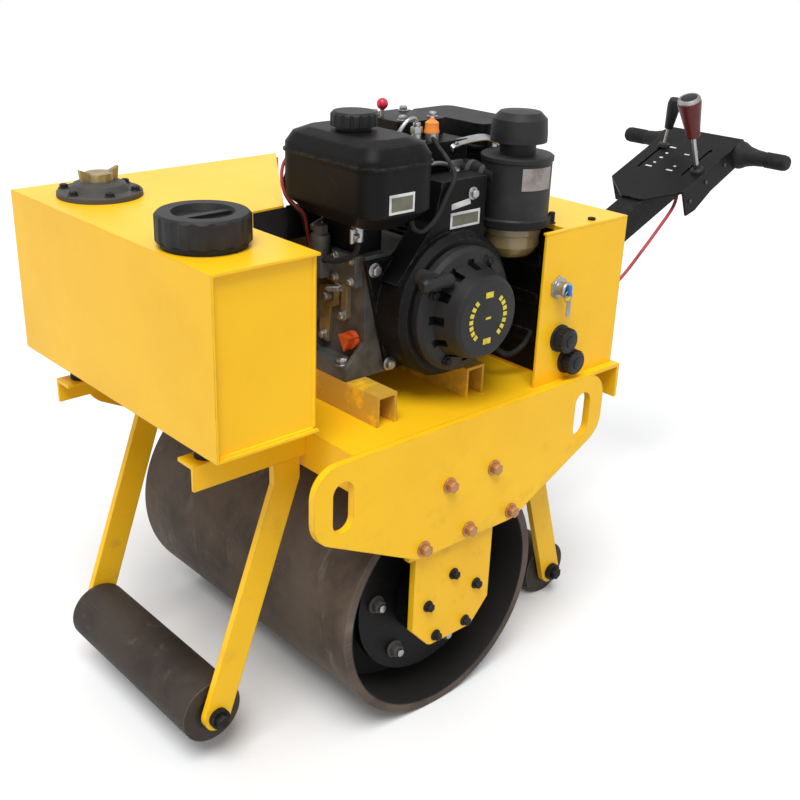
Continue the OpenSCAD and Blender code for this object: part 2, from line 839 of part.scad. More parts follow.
module fuel_cap() {
    r = fuel_cap_d / 2;
    color(black) translate([fuel_cap_at[0], fuel_cap_at[1], fuel_top]) difference() {
        rotate_extrude() polygon([[0, 0], [r - 8, 0], [r - 8, 5], [r, 6], [r, fuel_cap_h - 4],
            [r - 4, fuel_cap_h], [0, fuel_cap_h]]);
        for (i = [0 : cap_flutes - 1]) rotate(i * 360 / cap_flutes)
            translate([r + 1, 0, 6 + eps]) cylinder(h = fuel_cap_h, d = 6);
    }
}

module muffler() {
    seam = muffler_h / 2;
    corners = [for (sx = [-1, 1], sy = [-1, 1])
        [sx * (muffler_w / 2 - muffler_r), sy * (muffler_len / 2 - muffler_r)]];
    color(black) {
        translate([muffler_at[0], muffler_at[1], muffler_z]) {
            linear_extrude(muffler_h) rounded(corners, muffler_r);
            translate([0, 0, seam]) linear_extrude(4) rounded(corners, muffler_r + 4);
        }
        translate([muffler_at[0], muffler_at[1], muffler_z + seam - 6]) rotate([0, 90, 0])
            cylinder(h = cyl_x - cyl_w / 2 - muffler_at[0], d = exhaust_d);
        bar_y(muffler_at[0], muffler_z + seam, tail_d, muffler_at[1] - muffler_len / 2 - tail_len,
            muffler_at[1]);
    }
}

module air_cleaner() {
    cap = cleaner_top + stem_h;
    cap_r = rain_cap_d / 2;
    color(black) translate([cleaner_at[0], cleaner_at[1], 0]) {
        rotate_extrude() polygon([[0, bowl_top], [cleaner_r - 1, bowl_top], [cleaner_r + 1, bowl_top + 3],
            [cleaner_r + 1, cleaner_z - 4], [cleaner_r - 2, cleaner_z], [cleaner_r - 2, cleaner_top - 10],
            [cleaner_r, cleaner_top - 8], [cleaner_r, cleaner_top - 2], [cleaner_r - 3, cleaner_top],
            [stem_d / 2, cleaner_top], [stem_d / 2, cap], [cap_r, cap], [cap_r, cap + 12],
            [cap_r - 2, cap + rain_cap_h - 12], [cap_r - 12, cap + rain_cap_h - 2], [0, cap + rain_cap_h]]);
        translate([cleaner_r - 14, 0, head_top - 45]) rotate([90, 0, 0])
            cylinder(h = cleaner_at[1] - cyl_left, d = intake_d);
    }
}

module air_cleaner_bowl() {
    r = bowl_d / 2;
    low = bowl_top - bowl_h;
    color("goldenrod") translate([cleaner_at[0], cleaner_at[1], 0]) rotate_extrude()
        polygon([[0, low], [r - 14, low], [r - 8, low + 6], [r - 2, low + 16], [r - 2, bowl_top - 14],
            [r, bowl_top - 12], [r, bowl_top], [0, bowl_top]]);
}

module injection_pump() {
    top = case_top - 42;
    color(steel) {
        translate([case_front, 82, top]) cube([36, 46, 32]);
        translate([case_front + 18, 105, top]) cylinder(h = 62, d = 30);
        translate([case_front + 18, 105, top + 62]) cylinder(h = 14, d = 24, $fn = 6);
    }
}

module hydraulic_pump() {
    flange = pump_d + 56;
    flange_end = case_right - 24;
    color(steel) {
        bar_y(-crank_x, crank_z, flange, flange_end, case_right);
        bar_y(-crank_x, crank_z, pump_d, flange_end - pump_len, flange_end + eps);
    }
}

// Speed control plate with a lever beside it
module governor_lever() {
    color(zinc) {
        slab_x(case_front, case_front + 6) difference() {
            polygon([[90, crank_z - 68], [112, crank_z - 68], [116, crank_z - 10], [136, crank_z],
                [136, crank_z + 34], [88, crank_z + 20], [88, crank_z - 10]]);
            translate([114, crank_z + 10]) circle(d = 18);
        }
        slab_x(case_front, case_front + 10) rounded([[152, crank_z - 14], [152, crank_z + 32]], 6);
    }
}

module stop_lever() {
    color("firebrick") translate([-48, 60, cover_top]) {
        cylinder(h = 14, d = 7);
        translate([0, 0, 20]) sphere(d = 18);
    }
}

module oil_plug() {
    color("orangered") translate([case_front, 166, crank_z - 49]) rotate([0, 90, 0]) {
        cylinder(h = 9, d = 28);
        cylinder(h = 20, d = 32, $fn = 3);
    }
}

module handle_bracket() {
    color(black) {
        both_sides() slab_y(ear_in, ear_in + ear_t) hull() {
            translate([-pivot_x, pivot_z]) circle(ear_r, $fn = hull_fn);
            translate(stop_at) circle(stop_d / 2 + 4, $fn = hull_fn);
            translate([-deck_rear - 4, deck_z - deck_flange]) square([4, deck_flange]);
        }
        bar_y(-pivot_x, pivot_z, pin_d, -ear_in - ear_t, ear_in + ear_t);
        bar_y(stop_at[0], stop_at[1], stop_d, -ear_in - ear_t, ear_in + ear_t);
    }
}

module drum_shell() {
    inner = drum_r - drum_wall;
    color(rust) difference() {
        spin_y(0, drum_r) difference() {
            translate([0, -drum_end]) square([drum_r, drum_w]);
            for (y = [-drum_end - eps, bulkhead_out]) translate([-eps, y])
                square([inner + eps, drum_recess + eps]);
            translate([-eps, -bulkhead_in]) square([inner + eps, 2 * bulkhead_in]);
        }
        bar_y(0, drum_r, 40, -drum_end, drum_end);
    }
}

module drive_plates() {
    color(black) both_sides() {
        bar_y(0, drum_r, drive_plate_d, drive_in, drive_out);
        bar_y(0, drum_r, shaft_d, drive_out, bracket_in - motor_floor - 4);
    }
}

module buffers() {
    color(rubber) both_sides() for (i = [0 : buffer_count - 1]) {
        a = buffer_phase + i * 360 / buffer_count;
        bar_y(buffer_ring_r * cos(a), drum_r + buffer_ring_r * sin(a), buffer_d, bulkhead_out, drive_in);
    }
}

module vibrator() {
    color(steel) bar_y(0, drum_r, vibrator_d, -bulkhead_in, bulkhead_in);
}

module handle_arm() {
    root = beam_root;
    color(black) on_handle() difference() {
        union() {
            difference() {
                translate([-beam_end, -beam_w / 2, beam_low]) cube([beam_end - root, beam_w, beam_h]);
                translate([-beam_end - eps, -beam_w / 2 + beam_t, beam_low - eps])
                    cube([beam_end - root - beam_t, beam_w - 2 * beam_t, beam_h - beam_t]);
            }
            bar_y(0, 0, 2 * boss_r, -beam_w / 2, beam_w / 2);
            translate([-root - eps, -beam_w / 2, -boss_r]) cube([root + eps, beam_w, boss_r + 14]);
        }
        bar_y(0, 0, pin_d + 2 * run_fit, -beam_w, beam_w);
    }
}

module control_panel() {
    color(black) on_handle() {
        translate([0, 0, beam_top]) linear_extrude(panel_t) difference() {
            hull() {
                translate([-panel_end, -panel_half]) square([panel_end - panel_start, panel_w]);
                for (s = [-1, 1]) translate([-panel_start + panel_nose, s * (panel_nose_w / 2)])
                    circle(panel_nose_r, $fn = hull_fn);
            }
            for (y = lever_slots) translate([-lever_u - slot_len / 4, y]) rotate(90)
                obround(slot_gap, slot_len);
        }
        for (y = [-panel_half, panel_half - cheek_t]) slab_y(y, y + cheek_t)
            polygon([[-panel_start, beam_top + eps], [-panel_start, -22], [-panel_start - 30, -26],
                [-panel_start - 90, -14], [-panel_end, -10], [-panel_end, beam_top + eps]]);
    }
}

module handlebar() {
    color(black) on_handle() {
        bar_y(-bar_u, bar_w, bar_d, -panel_half + cheek_t, panel_half - cheek_t);
    }
}

module grips() {
    r = grip_d / 2;
    root = panel_half;
    end = bar_len / 2;
    color(rubber) on_handle() both_sides() spin_y(-bar_u, bar_w) polygon([[0, root], [r + 12, root],
        [r + 11, root + 6], [r + 4, root + 20], [r, root + 38], [r - 2, root + 60], [r - 2, end - 4],
        [r - 5, end], [0, end]]);
}

module gear_lever() {
    color(steel) on_handle() translate([-lever_u, lever_y, panel_top]) cylinder(h = lever_h, d = lever_d);
}

module gear_knob() {
    color("darkred") on_handle() translate([-lever_u, lever_y, panel_top + lever_h]) rotate_extrude()
        polygon([[0, 0], [14, 0], [16, 20], [22, 60], [24, 76], [20, 86], [0, 86]]);
}

module control_cable() {
    color("crimson") on_handle() intersection() {
        cord(route_curve(cable_route, cable_steps), cable_d, cable_sides);
        translate([-panel_end, -panel_half, -panel_end])
            cube([panel_end - beam_root - beam_t - eps, panel_w, panel_end + beam_top]);
    }
}

deck();
side_plate_left();
side_plate_right();
drum_bracket_left();
drum_bracket_right();
motor_housings();
tank_arms();
tank_pads();
front_legs();
rear_legs();
roller_axles();
water_tank();
water_cap();
oil_breather();
breather_plug();
rear_box();
rear_box_lid();
socket_caps();
key_switch();
engine_rails();
crankcase();
cylinder_block();
blower_housing();
starter();
fuel_tank();
fuel_cap();
muffler();
air_cleaner();
air_cleaner_bowl();
injection_pump();
hydraulic_pump();
governor_lever();
stop_lever();
oil_plug();
handle_bracket();
drum_shell();
drive_plates();
buffers();
vibrator();
front_roller();
rear_roller();
handle_arm();
control_panel();
handlebar();
grips();
gear_lever();
gear_knob();
control_cable();
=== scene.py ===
import sys
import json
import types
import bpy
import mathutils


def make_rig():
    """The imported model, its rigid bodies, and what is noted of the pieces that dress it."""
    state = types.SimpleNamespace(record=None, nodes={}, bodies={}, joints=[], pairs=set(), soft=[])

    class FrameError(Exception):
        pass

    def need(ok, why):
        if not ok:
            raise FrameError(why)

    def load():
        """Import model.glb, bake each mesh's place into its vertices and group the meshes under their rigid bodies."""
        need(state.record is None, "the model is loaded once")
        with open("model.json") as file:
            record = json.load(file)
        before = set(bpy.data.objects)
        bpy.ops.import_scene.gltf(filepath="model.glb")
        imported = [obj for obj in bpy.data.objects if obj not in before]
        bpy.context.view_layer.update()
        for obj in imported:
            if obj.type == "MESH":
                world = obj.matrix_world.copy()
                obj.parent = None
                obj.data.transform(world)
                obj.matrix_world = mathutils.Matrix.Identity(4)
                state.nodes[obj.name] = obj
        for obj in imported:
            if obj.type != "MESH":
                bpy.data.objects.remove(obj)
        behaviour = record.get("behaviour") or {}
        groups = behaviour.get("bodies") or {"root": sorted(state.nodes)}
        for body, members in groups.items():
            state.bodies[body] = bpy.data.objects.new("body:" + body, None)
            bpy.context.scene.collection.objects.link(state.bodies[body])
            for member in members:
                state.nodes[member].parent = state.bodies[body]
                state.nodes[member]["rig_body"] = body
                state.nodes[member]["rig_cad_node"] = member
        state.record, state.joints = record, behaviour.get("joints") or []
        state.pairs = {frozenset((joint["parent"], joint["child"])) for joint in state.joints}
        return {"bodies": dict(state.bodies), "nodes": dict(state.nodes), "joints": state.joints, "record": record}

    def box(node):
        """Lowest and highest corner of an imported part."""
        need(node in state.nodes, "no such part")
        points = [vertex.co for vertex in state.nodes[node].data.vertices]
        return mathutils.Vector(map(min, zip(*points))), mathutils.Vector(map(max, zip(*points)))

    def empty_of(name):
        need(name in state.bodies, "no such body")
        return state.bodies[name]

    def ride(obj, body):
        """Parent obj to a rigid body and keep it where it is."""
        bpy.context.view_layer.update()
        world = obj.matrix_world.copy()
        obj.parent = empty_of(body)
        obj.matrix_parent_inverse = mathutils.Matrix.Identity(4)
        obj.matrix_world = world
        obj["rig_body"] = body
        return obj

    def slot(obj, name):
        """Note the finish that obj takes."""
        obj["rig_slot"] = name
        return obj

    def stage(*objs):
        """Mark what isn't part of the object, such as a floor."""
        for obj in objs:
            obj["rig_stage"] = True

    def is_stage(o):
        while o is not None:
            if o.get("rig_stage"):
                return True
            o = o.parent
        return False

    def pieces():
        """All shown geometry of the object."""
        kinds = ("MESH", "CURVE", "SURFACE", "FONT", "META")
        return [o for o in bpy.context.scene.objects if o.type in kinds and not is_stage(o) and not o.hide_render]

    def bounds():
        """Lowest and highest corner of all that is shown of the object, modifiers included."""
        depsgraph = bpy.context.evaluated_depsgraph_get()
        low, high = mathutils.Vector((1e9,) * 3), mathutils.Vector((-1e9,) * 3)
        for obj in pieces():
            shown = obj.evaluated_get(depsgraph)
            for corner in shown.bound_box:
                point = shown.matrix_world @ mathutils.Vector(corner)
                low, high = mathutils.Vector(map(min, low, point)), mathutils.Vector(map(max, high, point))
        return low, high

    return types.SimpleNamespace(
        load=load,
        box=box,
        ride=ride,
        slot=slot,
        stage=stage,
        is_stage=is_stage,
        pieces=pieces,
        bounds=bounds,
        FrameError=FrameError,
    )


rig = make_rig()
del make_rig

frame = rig.load()

import json
import math

import bmesh
import bpy
from mathutils import Matrix, Vector

bl_info = {
    "name": "Walk-behind road roller",
    "version": (1, 0, 0),
    "blender": (4, 5, 0),
    "location": "3D View > Sidebar > Roller",
    "description": "Dresses the roller's solids with paint, fasteners and engine fittings",
    "category": "Object",
}

NODES = frame["nodes"]
CAD_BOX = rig.bounds()
SLOT_OF = {row["node"]: row["material_slot"] for row in frame["record"]["subparts"]}

# Directions in the machine's frame, and its two sides
FRONT, LEFT, UP = (1, 0, 0), (0, 1, 0), (0, 0, 1)
SIDES = ((1, "left"), (-1, "right"))


def lowest(node):
    """Lowest corner of a CAD node at rest."""
    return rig.box(node)[0]


def highest(node):
    """Highest corner of a CAD node at rest."""
    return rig.box(node)[1]


def middle(node):
    """Middle of a CAD node's box at rest."""
    return (lowest(node) + highest(node)) / 2


def outer_face(node, side):
    """Y of a node's face that looks out to one side."""
    return (highest(node) if side > 0 else lowest(node)).y


def joint(name):
    """A joint's row in the frame."""
    return next(row for row in frame["joints"] if row["name"] == name)


DRUM_MID = middle("drum_shell")
HINGE = Vector(joint("handle_tilt")["pos_m"])
# Slope of the handle's arm at rest, and the way its panel faces
HANDLE_TURN = Matrix.Rotation(math.radians(23.3), 4, "Y")
HANDLE_UP = HANDLE_TURN @ Vector(UP)
# The crankshaft lies along Y through this point
CRANK = Vector((-0.041, 0.0, 0.703))
# Height at which the stop lever's stem meets its ball
STOP_BALL = highest("stop_lever").z - 0.0175


def handle_point(along, across, above):
    """A point in the handle's own frame, in metres up the arm, sideways and above the pivot."""
    return HINGE + HANDLE_TURN @ Vector((-along, across, above))


class Value:
    """A shader socket that takes part in Python arithmetic."""

    def __init__(self, nodes, socket):
        self.nodes = nodes
        self.socket = socket

    def _math(self, operation, *values):
        return self.nodes.node("ShaderNodeMath", {"operation": operation}, dict(enumerate(values)))

    def __add__(self, other):
        return self._math("ADD", self, other)

    __radd__ = __add__

    def __sub__(self, other):
        return self._math("SUBTRACT", self, other)

    def __rsub__(self, other):
        return self._math("SUBTRACT", other, self)

    def __mul__(self, other):
        return self._math("MULTIPLY", self, other)

    __rmul__ = __mul__

    def __pow__(self, other):
        return self._math("POWER", self, other)

    def high(self, other):
        return self._math("MAXIMUM", self, other)

    def low(self, other):
        return self._math("MINIMUM", self, other)

    def step(self, start, end):
        """0 below start, 1 above end, smooth between."""
        values = {"Value": self, "From Min": start, "From Max": end}
        return self.nodes.node("ShaderNodeMapRange", {"interpolation_type": "SMOOTHSTEP"}, values)


class Nodes:
    """A node tree, emptied at first, and the method that adds nodes to it."""

    def __init__(self, tree):
        self.tree = tree
        tree.nodes.clear()

    def node(self, kind, settings=None, inputs=None, output=0):
        """Adds a node, sets it up, feeds its sockets and returns one output."""
        made = self.tree.nodes.new(kind)
        for key, value in (settings or {}).items():
            setattr(made, key, value)
        for key, value in (inputs or {}).items():
            self.feed(made.inputs[key], value)
        return Value(self, made.outputs[output])

    def feed(self, socket, value):
        """Links a value to a socket, or sets the socket to a number or colour."""
        if isinstance(value, Value):
            self.tree.links.new(value.socket, socket)
        else:
            socket.default_value = value

    def end(self, kind, shader):
        """Adds the tree's output node and feeds it."""
        self.feed(self.tree.nodes.new(kind).inputs[0], shader)

    def plain_rays(self):
        """1 for rays from the camera, off gloss or through glass, 0 for scattered light."""
        camera, gloss, glass = (self.node("ShaderNodeLightPath", output=name) for name in
                                ("Is Camera Ray", "Is Glossy Ray", "Is Transmission Ray"))
        return camera.high(gloss).high(glass)


class Finish(Nodes):
    """One procedural material and the nodes it is made of."""

    def __init__(self, name):
        self.material = bpy.data.materials.new(name)
        self.material.use_nodes = True
        super().__init__(self.material.node_tree)
        self.shader = self.tree.nodes.new("ShaderNodeBsdfPrincipled")
        self.end("ShaderNodeOutputMaterial", Value(self, self.shader.outputs[0]))
        self.place = self.node("ShaderNodeTexCoord", output="Object")

    def set(self, **values):
        """Feeds the shader's sockets, with spaces written as underscores."""
        for key, value in values.items():
            self.feed(self.shader.inputs[key.replace("_", " ")], value)

    def axis(self, name, place=None):
        return self.node("ShaderNodeSeparateXYZ", None, {0: place or self.place}, name.upper())

    def noise(self, scale, detail=4.0, roughness=0.55, place=None):
        values = {"Vector": place or self.place, "Scale": scale, "Detail": detail, "Roughness": roughness}
        return self.node("ShaderNodeTexNoise", None, values)

    def stretched(self, scale):
        """Object coordinates scaled by different amounts along each axis."""
        return self.node("ShaderNodeMapping", None, {"Vector": self.place, "Scale": scale})

    def mix(self, first, second, factor):
        values = {0: factor, 6: first, 7: second}
        return self.node("ShaderNodeMix", {"data_type": "RGBA"}, values, 2)

    def rounded(self, radius):
        """Normal with edges rounded by radius."""
        return self.node("ShaderNodeBevel", {"samples": 4}, {"Radius": radius})

    def edges(self, radius):
        """1 along sharp edges, 0 on open faces."""
        flat = self.node("ShaderNodeNewGeometry", output="Normal")
        dot = self.node("ShaderNodeVectorMath", {"operation": "DOT_PRODUCT"},
                        {0: self.rounded(radius), 1: flat}, "Value")
        return (1 - dot).step(0.02, 0.25)

    def bump(self, height, strength, distance, radius):
        """Feeds the shader a normal from a height, over edges rounded by radius."""
        values = {"Height": height, "Strength": strength, "Distance": distance,
                  "Normal": self.rounded(radius)}
        self.set(Normal=self.node("ShaderNodeBump", None, values))


def rgb(colour):
    """A colour with full alpha."""
    return (colour[0], colour[1], colour[2], 1.0)


def tinted(colour, *factors):
    """A colour with each channel times its own factor."""
    return rgb([channel * factor for channel, factor in zip(colour, factors)])


class RollerColours(bpy.types.PropertyGroup):
    """Colours of the roller's finishes."""

    yellow: bpy.props.FloatVectorProperty(
        name="Yellow paint", description="Paint of the frame, tank and box",
        subtype="COLOR", size=3, min=0, max=1, default=(0.98, 0.56, 0.010))
    black: bpy.props.FloatVectorProperty(
        name="Black paint", description="Paint of the engine and handle",
        subtype="COLOR", size=3, min=0, max=1, default=(0.004, 0.004, 0.0044))
    rust: bpy.props.FloatVectorProperty(
        name="Drum steel", description="Brown rolled steel of the drum and rollers",
        subtype="COLOR", size=3, min=0, max=1, default=(0.107, 0.078, 0.056))
    knob: bpy.props.FloatVectorProperty(
        name="Knob", description="Dark red plastic of the gear knob",
        subtype="COLOR", size=3, min=0, max=1, default=(0.115, 0.011, 0.009))


class RollerSizes(bpy.types.PropertyGroup):
    """Sizes of the fasteners, and the camera's lens."""

    plate_bolt: bpy.props.FloatProperty(
        name="Plate bolt", description="Width across corners of the side plates' bolts",
        unit="LENGTH", default=0.0198, min=0.01, max=0.05)
    bracket_bolt: bpy.props.FloatProperty(
        name="Bracket bolt", description="Width across corners of the drum brackets' bolts",
        unit="LENGTH", default=0.0152, min=0.01, max=0.05)
    bracket_ring: bpy.props.FloatProperty(
        name="Bracket bolt ring", description="Radius of the ring of bolts on a drum bracket",
        unit="LENGTH", default=0.0584, min=0.04, max=0.07)
    buffer_ring: bpy.props.FloatProperty(
        name="Buffer bolt ring", description="Radius of the ring of bolts on a drive plate",
        unit="LENGTH", default=0.116, min=0.1, max=0.125)
    lens: bpy.props.FloatProperty(
        name="Lens", description="Focal length of the camera",
        subtype="DISTANCE_CAMERA", default=50.48, min=20, max=120)


def colours():
    return bpy.context.scene.roller_colours


def sizes():
    return bpy.context.scene.roller_sizes


FINISHES = {}


def finish(name):
    """The material of that name, made once."""
    if name not in FINISHES:
        FINISHES[name] = globals()["make_" + name](name)
    return FINISHES[name]


def painted(name, soil, spread=0.0):
    """Yellow paint, soiled by some amount that spreads over more or less of it."""
    f = Finish(name)
    base = rgb(colours().yellow)
    cloud = f.noise(5.0, 5.0)
    grime = f.noise(22.0, 8.0, 0.65)
    near_ground = 1 - f.axis("z").step(0.15, 0.62)
    dirt = (grime.step(0.52 - spread, 0.78 - spread) * (soil + 0.4 * near_ground)).low(0.6)
    edge = f.edges(0.0035) * grime.step(0.35, 0.62)
    tone = f.mix(base, tinted(base, 0.94, 0.9, 0.8), cloud.step(0.35, 0.75))
    soiled = f.mix(tone, rgb((0.30, 0.19, 0.06)), dirt)
    worn = f.mix(soiled, rgb((0.46, 0.24, 0.035)), edge * 0.55)
    f.set(Base_Color=worn, Roughness=0.30 + 0.25 * dirt + 0.12 * grime, Specular_IOR_Level=0.27)
    f.bump(f.noise(260.0, 2.0) * 0.6 + f.noise(38.0, 2.0) * 0.5, 0.10, 0.0006, 0.0022)
    return f.material


def make_yellow_paint(name):
    return painted(name, soil=0.05)


def make_rail_paint(name):
    return painted(name, soil=0.75, spread=0.24)


def dark_paint(name, colour, rough, dust=0.35, radius=0.0018):
    """Dark paint with dust, rubbed edges and edges rounded by radius."""
    f = Finish(name)
    cloud = f.noise(9.0, 5.0)
    speck = f.noise(90.0, 6.0, 0.7)
    edge = f.edges(0.003) * speck.step(0.38, 0.6)
    settled = (cloud.step(0.4, 0.8) * speck.step(0.35, 0.7)) * dust
    dusty = f.mix(rgb(colour), rgb((0.045, 0.041, 0.036)), settled)
    worn = f.mix(dusty, rgb((0.12, 0.12, 0.125)), edge * 0.5)
    f.set(Base_Color=worn, Roughness=rough + 0.22 * cloud - 0.08 * edge, Specular_IOR_Level=0.12)
    f.bump(f.noise(420.0, 2.0), 0.12, 0.0005, radius)
    return f.material


def make_black_paint(name):
    return dark_paint(name, colours().black, 0.34)


def make_tank_black(name):
    return dark_paint(name, colours().black, 0.34, radius=0.009)


def make_dark_steel(name):
    return dark_paint(name, (0.075, 0.072, 0.068), 0.42, dust=0.5)


def make_black_bolt(name):
    return dark_paint(name, (0.010, 0.010, 0.0105), 0.4, dust=0.5)


def make_black_plastic(name):
    f = Finish(name)
    grain = f.noise(700.0, 2.0)
    cloud = f.noise(14.0, 4.0)
    base = f.mix(rgb((0.009, 0.009, 0.010)), rgb((0.032, 0.031, 0.030)), cloud.step(0.45, 0.85))
    f.set(Base_Color=base, Roughness=0.42 + 0.2 * cloud, Specular_IOR_Level=0.3)
    f.bump(grain, 0.18, 0.0004, 0.0015)
    return f.material


def make_rubber(name):
    f = Finish(name)
    cloud = f.noise(30.0, 5.0)
    base = f.mix(rgb((0.010, 0.010, 0.011)), rgb((0.045, 0.042, 0.038)), cloud.step(0.5, 0.85))
    f.set(Base_Color=base, Roughness=0.62 + 0.2 * cloud, Specular_IOR_Level=0.3)
    f.bump(f.noise(500.0, 3.0), 0.3, 0.0006, 0.0015)
    return f.material


def rolled_steel(name, centre, streaks, shade, bore):
    """Brown steel, scuffed round an axis that runs along Y through centre, with painted shade, black, in the bore."""
    f = Finish(name)
    base = tinted(colours().rust, shade, shade, shade)
    around = f.node("ShaderNodeMapping", None, {"Vector": f.place, "Location": (-centre.x, 0, -centre.z)})
    across, up = f.axis("x", around), f.axis("z", around)
    turn = f.node("ShaderNodeMath", {"operation": "ARCTAN2"}, {0: up, 1: across})
    wide = f.node("ShaderNodeCombineXYZ", None, {0: turn * 1.6, 1: f.axis("y") * streaks, 2: 0.0})
    tall = f.node("ShaderNodeCombineXYZ", None, {0: turn * 14.0, 1: f.axis("y") * 5.0, 2: 3.0})
    bands = f.noise(1.0, 7.0, 0.65, wide)
    drags = f.noise(1.0, 6.0, 0.7, tall)
    blotch = f.noise(9.0, 6.0, 0.6)
    pits = f.noise(160.0, 4.0, 0.7)
    brown = f.mix(base, tinted(base, 0.45, 0.42, 0.42), blotch.step(0.38, 0.7))
    pale = f.mix(brown, tinted((0.30, 0.25, 0.20), shade, shade, shade),
                 (bands.step(0.54, 0.80) * blotch.step(0.3, 0.6)) * 0.75)
    rub = f.mix(pale, tinted((0.42, 0.38, 0.34), shade, shade, shade),
                (drags.step(0.58, 0.80) * pits.step(0.35, 0.65)) * 0.6)
    edge = f.edges(0.004)
    worn = f.mix(rub, rgb((0.19, 0.15, 0.12)), edge * 0.6)
    # Painted shade: black in the bore, where the hollow lies in shade
    reach = (across * across + up * up) ** 0.5
    inside = 1 - reach.step(bore, bore + 0.002)
    dark = f.mix(worn, rgb((0.012, 0.011, 0.010)), inside)
    f.set(Base_Color=dark, Metallic=0.25 + 0.2 * edge, Roughness=0.62 - 0.1 * edge + 0.18 * pits)
    f.bump(pits * 0.8 + blotch * 0.6 + drags * 0.4, 0.35, 0.0012, 0.003)
    return f.material


def make_drum_steel(name):
    return rolled_steel(name, DRUM_MID, streaks=26.0, shade=1.0, bore=0.1975)


def make_roller_steel(name):
    return rolled_steel(name, middle("front_roller"), streaks=30.0, shade=0.38, bore=0.030)


def make_rear_roller_steel(name):
    return rolled_steel(name, middle("rear_roller"), streaks=30.0, shade=0.38, bore=0.030)


def make_grey_cast(name):
    f = Finish(name)
    cloud = f.noise(16.0, 6.0)
    oil = f.noise(7.0, 5.0)
    base = f.mix(rgb((0.14, 0.138, 0.135)), rgb((0.06, 0.055, 0.05)), cloud.step(0.4, 0.75))
    grimy = f.mix(base, rgb((0.03, 0.025, 0.02)), oil.step(0.45, 0.75) * 0.7)
    f.set(Base_Color=grimy, Metallic=0.55, Roughness=0.5 + 0.2 * cloud)
    f.bump(f.noise(600.0, 3.0), 0.35, 0.0006, 0.002)
    return f.material


def make_bare_steel(name):
    f = Finish(name)
    brush = f.noise(1.0, 3.0, 0.6, f.stretched((900, 60, 900)))
    cloud = f.noise(25.0, 4.0)
    base = f.mix(rgb((0.42, 0.42, 0.43)), rgb((0.22, 0.21, 0.20)), cloud.step(0.4, 0.8))
    f.set(Base_Color=base, Metallic=0.95, Roughness=0.28 + 0.2 * brush)
    f.bump(brush, 0.12, 0.0004, 0.001)
    return f.material


def passivated(name, first, second):
    """Zinc plating that runs from one hue to another."""
    f = Finish(name)
    cloud = f.noise(60.0, 5.0)
    hue = f.noise(24.0, 3.0)
    base = f.mix(rgb(first), rgb(second), hue.step(0.35, 0.7))
    dull = f.mix(base, rgb((0.12, 0.08, 0.05)), cloud.step(0.5, 0.8) * 0.6)
    f.set(Base_Color=dull, Metallic=0.8, Roughness=0.34 + 0.2 * cloud)
    f.bump(cloud, 0.2, 0.0004, 0.001)
    return f.material


def make_zinc(name):
    return passivated(name, (0.40, 0.33, 0.16), (0.34, 0.27, 0.17))


def make_plate_bolt(name):
    return passivated(name, (0.46, 0.22, 0.10), (0.40, 0.24, 0.10))


def make_amber_plastic(name):
    f = Finish(name)
    cloud = f.noise(30.0, 5.0)
    depth = f.axis("z").step(0.760, 0.790)
    base = f.mix(rgb((0.16, 0.115, 0.042)), rgb((0.30, 0.225, 0.105)), depth * 0.8 + 0.2 * cloud)
    f.set(Base_Color=base, Roughness=0.22 + 0.2 * cloud, Coat_Weight=0.4, Transmission_Weight=0.15)
    f.bump(cloud, 0.1, 0.0005, 0.001)
    return f.material


def bright_plastic(name, colour, rough):
    """Coloured plastic or print, a little uneven in tone."""
    f = Finish(name)
    cloud = f.noise(40.0, 4.0)
    tone = f.mix(rgb(colour), tinted(colour, 0.55, 0.5, 0.5), cloud.step(0.45, 0.8))
    f.set(Base_Color=tone, Roughness=rough + 0.15 * cloud, Specular_IOR_Level=0.35)
    f.bump(f.noise(400.0, 2.0), 0.08, 0.0004, 0.001)
    return f.material


def make_red_plastic(name):
    return bright_plastic(name, colours().knob, 0.28)


def make_red_cable(name):
    return bright_plastic(name, (0.42, 0.05, 0.06), 0.4)


def make_orange_plastic(name):
    return bright_plastic(name, (0.62, 0.09, 0.015), 0.35)


def make_orange_cap(name):
    return bright_plastic(name, (0.88, 0.27, 0.045), 0.35)


def make_blue_plastic(name):
    return bright_plastic(name, (0.04, 0.16, 0.45), 0.3)


def make_yellow_mark(name):
    return bright_plastic(name, (0.75, 0.60, 0.05), 0.5)


def make_white_mark(name):
    return bright_plastic(name, (0.72, 0.72, 0.70), 0.5)


def make_olive_label(name):
    return bright_plastic(name, (0.15, 0.15, 0.105), 0.5)


def make_grey_label(name):
    return bright_plastic(name, (0.30, 0.27, 0.25), 0.5)


def make_red_ball(name):
    f = Finish(name)
    cloud = f.noise(40.0, 4.0)
    stem = 1 - f.axis("z").step(STOP_BALL - 0.001, STOP_BALL)
    base = f.mix(rgb((0.56, 0.012, 0.045)), rgb((0.36, 0.35, 0.34)), stem)
    f.set(Base_Color=base, Metallic=0.9 * stem, Roughness=0.26 + 0.15 * cloud)
    f.bump(f.noise(400.0, 2.0), 0.08, 0.0004, 0.001)
    return f.material


def put_material(piece, name):
    """Gives an object one procedural finish in place of what it had."""
    piece.data.materials.clear()
    piece.data.materials.append(finish(name))


def facing(direction):
    """Rotation that turns +Z to the given direction."""
    return Vector(direction).normalized().to_track_quat("Z", "Y").to_matrix().to_4x4()


def at(point, direction=UP):
    """Place at a point, with its own +Z along a direction."""
    return Matrix.Translation(Vector(point)) @ facing(direction)


def mesh_object(name, bm):
    """Puts a bmesh into the scene as an object."""
    mesh = bpy.data.meshes.new(name)
    bm.to_mesh(mesh)
    bm.free()
    made = bpy.data.objects.new(name, mesh)
    bpy.context.scene.collection.objects.link(made)
    return made


